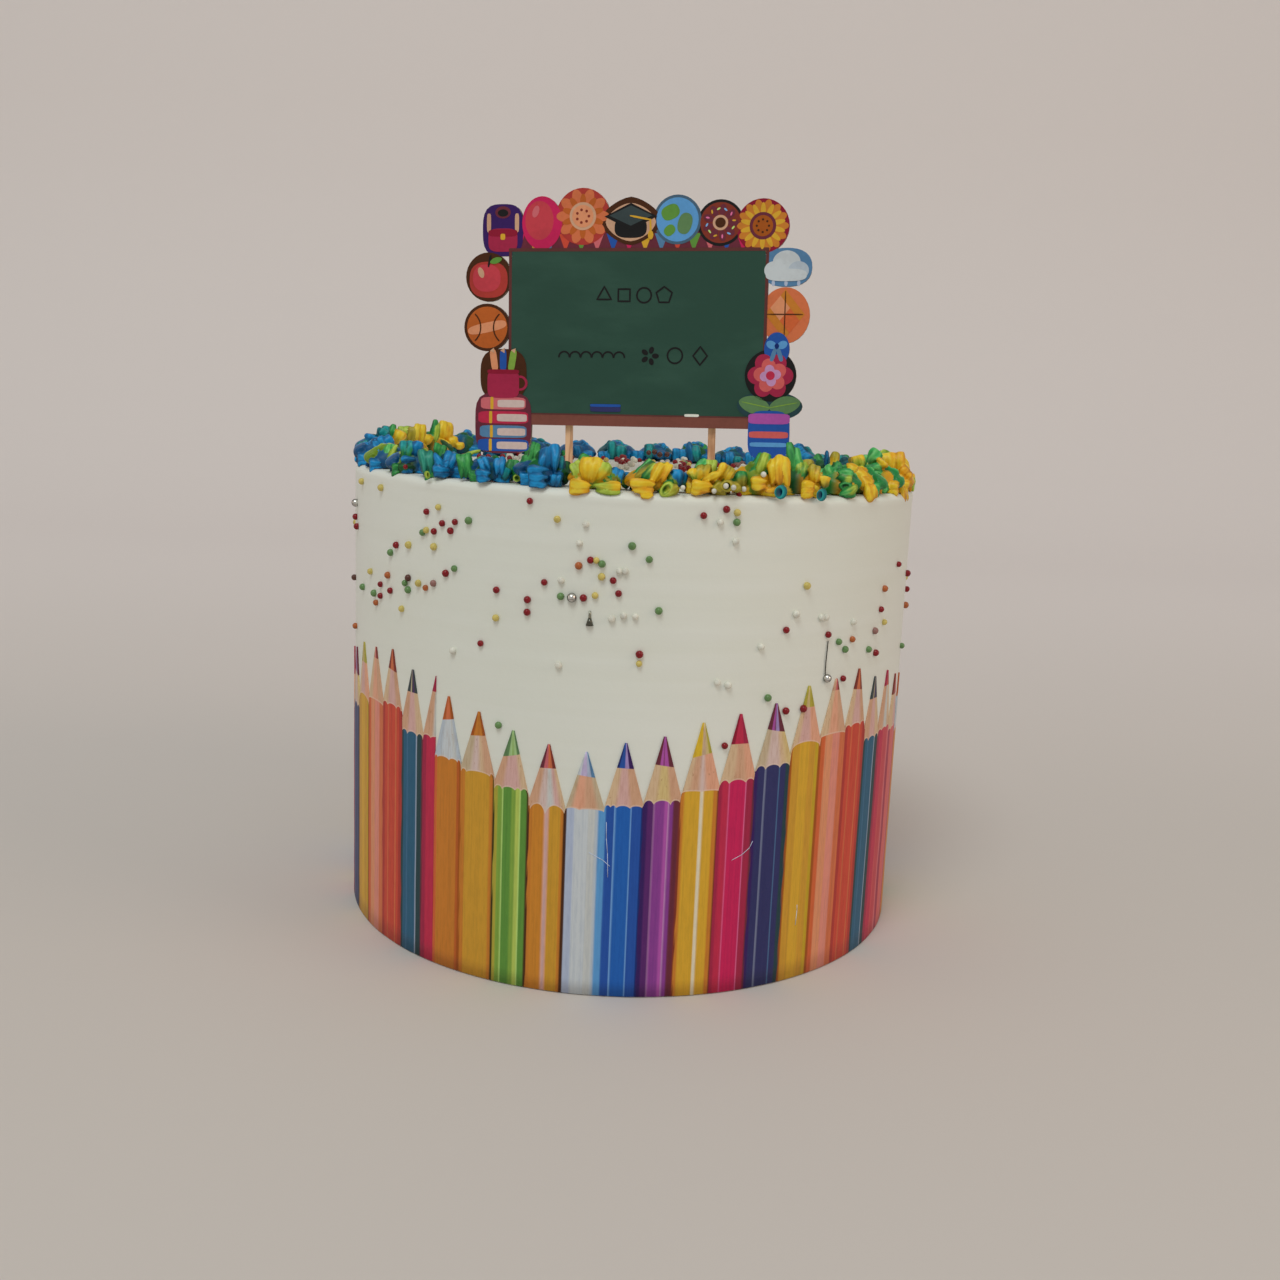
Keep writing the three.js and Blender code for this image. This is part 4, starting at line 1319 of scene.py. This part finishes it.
def make_beads():
    """Silver beads pressed into the wall with their reflection painted in, one of them on a dark wire,
    and a small cone, dark below and lighter at its tip.
    """
    shape = bmesh.new()
    tone = shape.verts.layers.float_color.new("tone")
    for angle, z, radius in BEADS:
        place = around(angle, wall_radius(z) + radius * 0.5, z)
        facing = (CAMERA_PLACE - place).normalized()
        made = bmesh.ops.create_icosphere(shape, subdivisions=3, radius=radius,
                                          matrix=Matrix.Translation(place))
        for vert in made["verts"]:
            # tone holds a painted reflection: light where a bead faces the camera, dark towards its
            # rim and in a band below its middle
            rim = 1 - smooth(0.35, 0.8, (vert.co - place).normalized().dot(facing))
            reflected_band = smooth(0.16, 0.05, abs((vert.co.z - place.z) / radius + 0.25))
            shade = 0.85 - 0.74 * max(rim, 0.7 * reflected_band)
            vert[tone] = (shade, shade * 0.98, shade * 0.93, 1)
    # a small cone, dark below and lighter at its tip
    angle, z = DROP
    for low, high, wide, narrow, shade in ((0, 2.3, 1.25, 0.5, 0.13), (2.1, 4.6, 0.5, 0.35, 0.4)):
        place = around(angle, wall_radius(z) + 0.25, z + (low + high) / 2)
        made = bmesh.ops.create_cone(shape, cap_ends=True, segments=14, radius1=wide,
                                     radius2=narrow, depth=high - low,
                                     matrix=Matrix.Translation(place))
        for vert in made["verts"]:
            vert[tone] = (shade, shade, shade * 0.82, 1)
    finish_piece("silver_beads", shape, metal_finish("silver_bead", "tone", 0.22))
    shape = bmesh.new()
    tone = shape.verts.layers.float_color.new("tone")
    add_string(shape, [around(angle, wall_radius(z) + 0.4, z) for angle, z in WIRE], 0.17)
    for vert in shape.verts:
        vert[tone] = (0.05, 0.045, 0.035, 1)
    finish_piece("bead_wire", shape, metal_finish("dark_wire", "tone", 0.45))


def make_painted_glints():
    """Pale lines on the glossy sheets that stand for glints of light: painted highlights."""
    shape = bmesh.new()
    for places in PAINTED_GLINTS:
        add_string(shape, [around(angle, wall_radius(z) + 0.46, z) for angle, z in places], 0.1)
    finish_piece("sheet_painted_glints", shape, pearl_finish("scratch", 0xA8B4C8))


# --------------------------------------------------------------------------------------- the card


def card_turn():
    """The card's turn, lean and tip."""
    angles = (-math.radians(CARD_LEAN), -math.radians(CARD_TIP), -math.radians(CARD_TURN))
    turn, lean, tip = (Matrix.Rotation(angles[2], 3, "Z"), Matrix.Rotation(angles[0], 3, "X"),
                       Matrix.Rotation(angles[1], 3, "Y"))
    return turn @ lean @ tip


PEN = 0.62                       # width of the pen's line


class Print:
    """Flat printed fields, stacked on the card's front: x to the right and z up from its middle."""

    def __init__(self):
        self.shape = bmesh.new()
        self.ink = self.shape.verts.layers.float_color.new("ink")
        self.count = 0

    def field(self, x, z, wide, tall, ink, layer, square=2.0, turn=0.0, sides=32):
        """A rounded field of these half sizes: an ellipse at 2 square, nearly a box at 8."""
        verts = bmesh.ops.create_circle(self.shape, cap_ends=True, segments=sides,
                                        radius=1)["verts"]
        faces = {face for vert in verts for face in vert.link_faces}
        raised = bmesh.ops.extrude_face_region(self.shape, geom=list(faces))["geom"]
        front = [part for part in raised if isinstance(part, bmesh.types.BMVert)]
        cos, sin = math.cos(math.radians(turn)), math.sin(math.radians(turn))
        for vert in verts + front:
            theta = math.atan2(vert.co.y, vert.co.x)
            rounding = (abs(math.cos(theta)) ** square + abs(math.sin(theta)) ** square) \
                ** (-1 / square) if sides > 8 else 1
            px = wide * rounding * math.cos(theta)
            pz = tall * rounding * math.sin(theta)
            vert.co = Vector((x + px * cos - pz * sin, 0, z + px * sin + pz * cos))
            vert[self.ink] = Vector(seen(INKS[ink]))
        for vert in verts:
            vert.co.y = -CARD_THICKNESS / 2 + 0.02
        self.count += 1
        lift = PRINT_LAYER * (layer + self.count % 9 / 10)
        for vert in front:
            vert.co.y = -CARD_THICKNESS / 2 - lift

    def line(self, points, width, ink, layer):
        """A pen line through points, each stretch of it with round ends."""
        for (ax, az), (bx, bz) in zip(points, points[1:]):
            length = math.hypot(bx - ax, bz - az)
            turn = math.degrees(math.atan2(bz - az, bx - ax))
            self.field((ax + bx) / 2, (az + bz) / 2, length / 2 + width / 2, width / 2, ink,
                       layer, 4, turn, 12)

    def ring(self, x, z, radius, width, ink, layer, sides=20, wide=1.0, start=0, sweep=360):
        points = []
        for step in range(sides + 1):
            turn = math.radians(start + sweep * step / sides)
            points.append((x + radius * wide * math.cos(turn), z + radius * math.sin(turn)))
        self.line(points, width, ink, layer)

    def petals(self, x, z, radius, count, wide, tall, ink, layer, start=0):
        for step in range(count):
            turn = start + 360 * step / count
            px = x + radius * math.cos(math.radians(turn))
            pz = z + radius * math.sin(math.radians(turn))
            self.field(px, pz, tall, wide, ink, layer, 2, turn, 20)

    def finished(self, name, finish):
        bmesh.ops.recalc_face_normals(self.shape, faces=self.shape.faces)
        bmesh.ops.rotate(self.shape, cent=(0, 0, 0), matrix=card_turn(), verts=self.shape.verts)
        bmesh.ops.translate(self.shape, vec=CARD_CENTRE, verts=self.shape.verts)
        return finish_piece(name, self.shape, finish, smooth_faces=False)


def make_board():
    green = Print()
    green.field(0, 1.7, BOARD_WIDTH / 2 - 0.9, BOARD_HEIGHT / 2 - 2.6, "moss", 4, 90)
    green.finished("chalkboard_field", board_finish())
    wood = Print()
    half_width, half_height = BOARD_WIDTH / 2, BOARD_HEIGHT / 2
    for side in (-1, 1):
        wood.field(side * (half_width - 0.55), 0, 0.55, half_height, "timber", 5, 60)
    wood.field(0, half_height - 0.6, half_width, 0.6, "timber", 5, 60)
    wood.field(0, -half_height + 2.1, half_width, 2.1, "tray", 6, 60)
    wood.field(0, -half_height + 4.2, half_width, 0.25, "timber", 7, 60)
    wood.field(-10.9, -25.8, 5.8, 1.3, "midnight", 8, 10)
    wood.field(-10.9, -24.8, 5.8, 0.5, "denim", 9, 10)
    wood.field(21.8, -27.9, 2.7, 0.5, "white", 8, 6)
    wood.finished("board_frame", print_finish())


def make_marks():
    """Two rows of small pen drawings on the board."""
    pen = Print()
    for x, sides, start in ((-12, 3, 90), (-4.5, 4, 45), (10.5, 5, 90)):
        pen.ring(x, 15.5, 3.1, PEN, "black", 6, sides, 1, start)
    pen.ring(3, 15.5, 2.7, PEN, "black", 6)
    for k in range(6):
        pen.ring(-27 + 4.2 * k, -7, 1.9, PEN, "black", 6, 9, 1.05, 0, 180)
    pen.petals(5.5, -6.4, 2.2, 5, 0.9, 1.3, "black", 6)
    pen.ring(15, -6.2, 2.8, PEN, "black", 6)
    pen.ring(24.4, -6.2, 3.3, PEN, "black", 6, 4, 0.8)
    pen.finished("board_marks", print_finish())


def make_border():
    """School and party things round the board, in flat printed inks."""
    art = Print()
    party_row(art)
    right_column(art)
    left_column(art)
    art.finished("border_print", print_finish())


def party_row(art):
    flags = ["magenta", "amber", "steel", "scarlet", "forest", "rose", "denim"]
    art.field(0, 34, 49, 5.5, "maroon", 1, 6)
    for step in range(16):
        art.field(-45 + 6 * step, 35.4, 2.9, 4.4, flags[step % 7], 2, 2, 180, 3)
    # bag
    art.field(-51, 39, 7.8, 9.4, "aubergine", 3, 3.2)
    art.field(-51, 45.4, 3, 2.2, "maroon", 4, 2)
    art.field(-51, 45.2, 2, 1.3, "black", 5, 2)
    art.field(-51, 35.4, 5.6, 4.2, "cherry", 4, 4)
    art.field(-51, 38, 5.6, 1.3, "wine", 5, 4)
    art.field(-51, 36.6, 0.9, 1.1, "amber", 6, 4)
    for side in (-1, 1):
        art.field(-51 + side * 5.4, 41.6, 0.8, 3.4, "clay", 4, 4)
    # balloon
    art.field(-36, 41.5, 7.6, 9.6, "magenta", 3)
    art.field(-37, 42.4, 5.4, 7, "cardinal", 4)
    art.field(-38.4, 45.6, 1.2, 2.2, "rose", 5, 2, -20)
    # daisy
    art.field(-20.5, 43.7, 10.2, 10.2, "brick", 3)
    art.petals(-20.5, 43.8, 6.4, 10, 2, 3.6, "coral", 4)
    art.petals(-20.5, 43.8, 5.4, 10, 1.1, 2.6, "rust", 5, 18)
    art.field(-20.5, 43.8, 5, 5, "clay", 6)
    art.field(-20.5, 43.8, 4, 4, "apricot", 7)
    art.petals(-20.5, 43.8, 2.3, 7, 0.5, 0.5, "umber", 8)
    # cap
    art.field(-2.5, 42, 11.8, 8.6, "bark", 3, 1.5)
    art.field(-2.5, 41.6, 9.4, 6.8, "clay", 4, 1.6)
    art.field(-2.5, 39.6, 6, 3.6, "black", 5, 3)
    art.field(-2.5, 43.6, 9.8, 4.8, "black", 6, 2, 0, 4)
    art.field(-2.5, 43.9, 8, 3.6, "bottle", 7, 2, 0, 4)
    art.line([(-2.5, 43.8), (4.8, 42.4), (5, 38)], 0.7, "amber", 8)
    art.field(5, 37, 1, 1.6, "amber", 8)
    # globe
    art.field(14.8, 42.4, 8.8, 8.8, "slate", 3)
    art.field(14.8, 42.4, 7.8, 7.8, "azure", 4)
    art.field(12.2, 45, 3.4, 2.6, "forest", 5, 2.6, 25)
    art.field(17.6, 41, 2.6, 3.8, "moss", 5, 2.4, -15)
    art.field(12, 38.6, 2.2, 1.8, "forest", 5, 2.4, 40)
    # biscuit
    art.field(30.6, 41.2, 8.4, 8.2, "black", 3)
    art.field(30.6, 41.2, 7.4, 7.2, "umber", 4)
    art.petals(30.6, 41.2, 4.6, 9, 1.3, 2, "maroon", 5)
    art.field(30.6, 41.2, 2.8, 2.7, "clay", 6)
    art.field(30.6, 41.2, 1.9, 1.8, "bark", 7)
    dots = ["amber", "pink", "sky", "lime"]
    for step in range(12):
        turn = math.radians(30 * step + 9)
        art.field(30.6 + 5 * math.cos(turn), 41.2 + 4.9 * math.sin(turn), 0.75, 0.32,
                  dots[step % 4], 6, 2, 70 * step, 10)
    # sunflower
    art.field(46, 40, 9.6, 9.6, "wine", 3)
    art.petals(46, 40, 6, 14, 1.6, 3.4, "ochre", 4)
    art.petals(46, 40, 5.4, 14, 0.9, 2.8, "amber", 5, 13)
    art.field(46, 40, 4.8, 4.8, "maroon", 6)
    art.field(46, 40, 3.7, 3.7, "bronze", 7)
    art.petals(46, 40, 2.2, 8, 0.4, 0.4, "bark", 8)


def right_column(art):
    # cloud
    art.field(55, 25.5, 9.2, 6.8, "steel", 3, 2.4)
    art.field(55, 27.2, 5, 4.2, "cloud", 4)
    art.field(50.6, 24.4, 3.6, 3.2, "cloud", 5)
    art.field(59.4, 24.4, 3.7, 3.2, "mist", 6)
    art.field(55, 22.8, 7.4, 2.2, "cloud", 7, 3)
    for x in (50.4, 55, 59.6):
        art.field(x, 19.9, 0.6, 1.1, "powder", 4)
    # kite
    art.field(55, 8.5, 9, 10, "coral", 3)
    art.field(55, 8.9, 7.2, 8.8, "ochre", 4, 2, 0, 4)
    art.field(53.2, 11.1, 3.6, 4.4, "apricot", 5, 2, 0, 4)
    art.field(56.8, 6.7, 3.6, 4.4, "flame", 5, 2, 0, 4)
    art.line([(55, 17), (55, 1)], 0.4, "bark", 6)
    art.line([(48.6, 8.9), (61.4, 8.9)], 0.4, "bark", 7)
    # ribbon
    art.field(52.5, -3.5, 4.6, 6, "denim", 9)
    for side in (-1, 1):
        art.field(52.5 + side * 2, -2, 1.9, 1.4, "azure", 10, 2, side * 25)
        art.field(52.5 + side * 1.2, -5.6, 0.8, 2.4, "steel", 11, 3, side * 18)
    art.field(52.5, -2.4, 0.8, 0.9, "ink", 12)
    # rose
    art.field(50.5, -13, 9.4, 9.4, "black", 9)
    art.petals(50.5, -13, 4.8, 6, 3.3, 3.6, "cherry", 10)
    art.petals(50.5, -13, 3.4, 5, 2.6, 2.8, "gum", 11, 30)
    art.petals(50.5, -13, 1.9, 4, 1.8, 2, "mauve", 12, 10)
    art.field(50.5, -13, 1.6, 1.6, "crimson", 13)
    # leaves
    art.field(50.5, -24, 12, 5.4, "pine", 8)
    for side in (-1, 1):
        art.field(50.5 + side * 5.6, -23.6, 5.8, 3.2, "moss", 9, 1.7, side * 12)
        art.line([(50.5, -24.6), (50.5 + side * 10, -22.6)], 0.35, "fern", 10)
    # pot
    art.field(50.5, -34.5, 7.6, 8.8, "denim", 10, 4)
    art.field(50.5, -28.6, 7.6, 1.9, "orchid", 11, 6)
    art.field(50.5, -34.4, 7.2, 1.2, "gum", 12, 6)
    art.field(50.5, -38, 6.8, 0.8, "azure", 12, 6)


def left_column(art):
    # apple
    art.field(-56.5, 22, 8.8, 9, "bark", 3)
    art.field(-56.5, 21, 7.4, 6.6, "brick", 4, 2.6)
    art.field(-57.2, 21.6, 5.4, 5, "cardinal", 5, 2.4)
    art.field(-59.4, 23.6, 1.1, 2, "clay", 6, 2, 20)
    art.line([(-56.5, 26), (-55.7, 29.6)], 0.8, "black", 7)
    art.field(-53.6, 28, 2.4, 1.1, "forest", 8, 1.7, 18)
    # ball
    art.field(-57, 3.5, 9, 8.8, "bark", 3)
    art.field(-57, 3.5, 7.9, 7.7, "rust", 4)
    art.field(-57, 3.5, 7.6, 1.8, "apricot", 5, 3, 12)
    art.ring(-66, 3.5, 6.5, 0.5, "bark", 6, 10, 1, -48, 96)
    art.ring(-48, 3.5, 6.5, 0.5, "bark", 6, 10, 1, 132, 96)
    # mug with pencils
    art.field(-50.5, -14, 9, 9.6, "bark", 9, 3)
    for x, ink, turn in ((-54.2, "apricot", 8), (-50.6, "denim", 0), (-47, "fern", -9)):
        art.field(x, -8.6, 1.3, 4, ink, 10, 4, turn)
        art.field(x - turn * 0.06, -5, 1.1, 1.1, "clay", 11, 2, 90 + turn, 3)
    art.field(-50.5, -17.4, 6.2, 5.2, "cherry", 12, 5)
    art.field(-50.5, -12.8, 6.2, 0.8, "wine", 13, 5)
    art.ring(-43.9, -17, 2.4, 0.9, "cherry", 11, 10, 1, -90, 180)
    # books
    art.field(-50.5, -32, 11, 11.4, "maroon", 9, 4)
    rows = ((-24.6, 8.8, "rose"), (-29.9, 9.8, "crimson"), (-35.2, 9.2, "steel"),
            (-40.3, 10, "denim"))
    for z, half, ink in rows:
        art.field(-50.5, z, half, 2.3, ink, 10, 6)
        art.field(-50.5 + half * 0.35, z - 0.1, half * 0.6, 1.4, "shell", 11, 8)
        art.field(-50.5 - half * 0.5, z, 0.6, 2.3, "amber", 12, 6)


# ------------------------------------------------------------------------------ camera, light, floor

FLOOR_SIZE = 2400
SWEEP_RADIUS = 500
SWEEP_BACK = 900


def make_camera():
    right, up, ahead = camera_axes()
    camera = bpy.data.objects.new("camera", bpy.data.cameras.new("camera"))
    camera.data.lens = CAMERA_LENS
    camera.data.sensor_width = SENSOR_WIDTH
    camera.data.clip_start = 0.01
    camera.matrix_world = Matrix.Translation(CAMERA_PLACE * MM) @ Matrix(
        (right, up, -ahead)).transposed().to_4x4()
    bpy.context.scene.collection.objects.link(camera)
    bpy.context.scene.camera = camera


def make_stage():
    """A floor that sweeps up into a backdrop behind the cake, painted darker at the front and round
    the cake and lighter towards the back and up the backdrop: painted shade and painted light that
    even out the lamps' fall-off.
    """
    shape = bmesh.new()
    line = [(-FLOOR_SIZE, 0), (SWEEP_BACK, 0)]
    for turn in range(10, 91, 10):
        line.append((SWEEP_BACK + SWEEP_RADIUS * math.sin(math.radians(turn)),
                     SWEEP_RADIUS * (1 - math.cos(math.radians(turn)))))
    line.append((SWEEP_BACK + SWEEP_RADIUS, FLOOR_SIZE))
    points = [shape.verts.new((-FLOOR_SIZE, y, z)) for y, z in line]
    edges = [shape.edges.new(pair) for pair in zip(points, points[1:])]
    raised = bmesh.ops.extrude_edge_only(shape, edges=edges)["geom"]
    ends = [part for part in raised if isinstance(part, bmesh.types.BMVert)]
    bmesh.ops.translate(shape, vec=(2 * FLOOR_SIZE, 0, 0), verts=ends)
    bmesh.ops.scale(shape, vec=(MM, MM, MM), verts=shape.verts)
    mesh = bpy.data.meshes.new("floor")
    shape.to_mesh(mesh)
    shape.free()
    mesh.shade_smooth()
    finish = Finish("floor")
    cloud = finish.noise(finish.place(), 1.5, 2.0)
    depth = finish.node("SeparateXYZ", {}, {"Vector": finish.place()}, out=1)
    # painted shade near the front and painted light towards the back, making up for the lamps'
    # fall-off
    near = finish.mix(finish.step(cloud, 0.3, 0.7), (0.62, 0.575, 0.535, 1),
                      (0.65, 0.60, 0.56, 1))
    colour = finish.mix(finish.step(depth, -0.1, 0.9), near, (0.83, 0.775, 0.75, 1))
    mesh.materials.append(finish.surface(Base_Color=colour, Roughness=0.8))
    floor = bpy.data.objects.new("floor", mesh)
    bpy.context.scene.collection.objects.link(floor)


def make_light(name, place, size, power, colour):
    lamp = bpy.data.lights.new(name, "AREA")
    lamp.shape = "DISK"
    lamp.size = size
    lamp.energy = power
    lamp.color = colour
    light = bpy.data.objects.new(name, lamp)
    light.location = place
    light.rotation_euler = (Vector((0, 0, 0.1)) - Vector(place)).to_track_quat("-Z", "Y").to_euler()
    bpy.context.scene.collection.objects.link(light)


def make_lights():
    world = bpy.data.worlds.new("room")
    world.use_nodes = True
    world.node_tree.nodes["Background"].inputs["Color"].default_value = (1, 0.985, 0.965, 1)
    world.node_tree.nodes["Background"].inputs["Strength"].default_value = 0.375
    bpy.context.scene.world = world
    make_light("key_light", (-0.5, -1.6, 2.6), 1.4, 30, (0.93, 1, 1))
    make_light("side_light", (1.6, -0.7, 0.9), 1.0, 5.6, (1, 0.75, 0.56))
    make_light("left_light", (-1.8, -0.2, 0.7), 1.0, 1.5, (1, 0.7, 0.46))
    bpy.context.scene.view_settings.view_transform = "Standard"


# ---------------------------------------------------------------------------------------- the cake

make_camera()
make_cake()
printed = sheet_finish()
for sheet_name, (sheet_start, sheet_end) in SHEETS.items():
    make_sheet(sheet_name, sheet_start, sheet_end, printed)
piped = piped_finish()
for swirl_index in range(len(SWIRL_INKS)):
    make_swirl(swirl_index, piped)
make_pearls()
make_beads()
make_painted_glints()
make_board()
make_marks()
make_border()
card_board = paper_finish()
stick_wood = stick_finish()
for node_name, node_finish in (("topper_card", card_board), ("topper_stick_left", stick_wood),
                               ("topper_stick_right", stick_wood)):
    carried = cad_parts[node_name]
    for material_slot in carried.material_slots:
        material_slot.material = node_finish
make_stage()
make_lights()
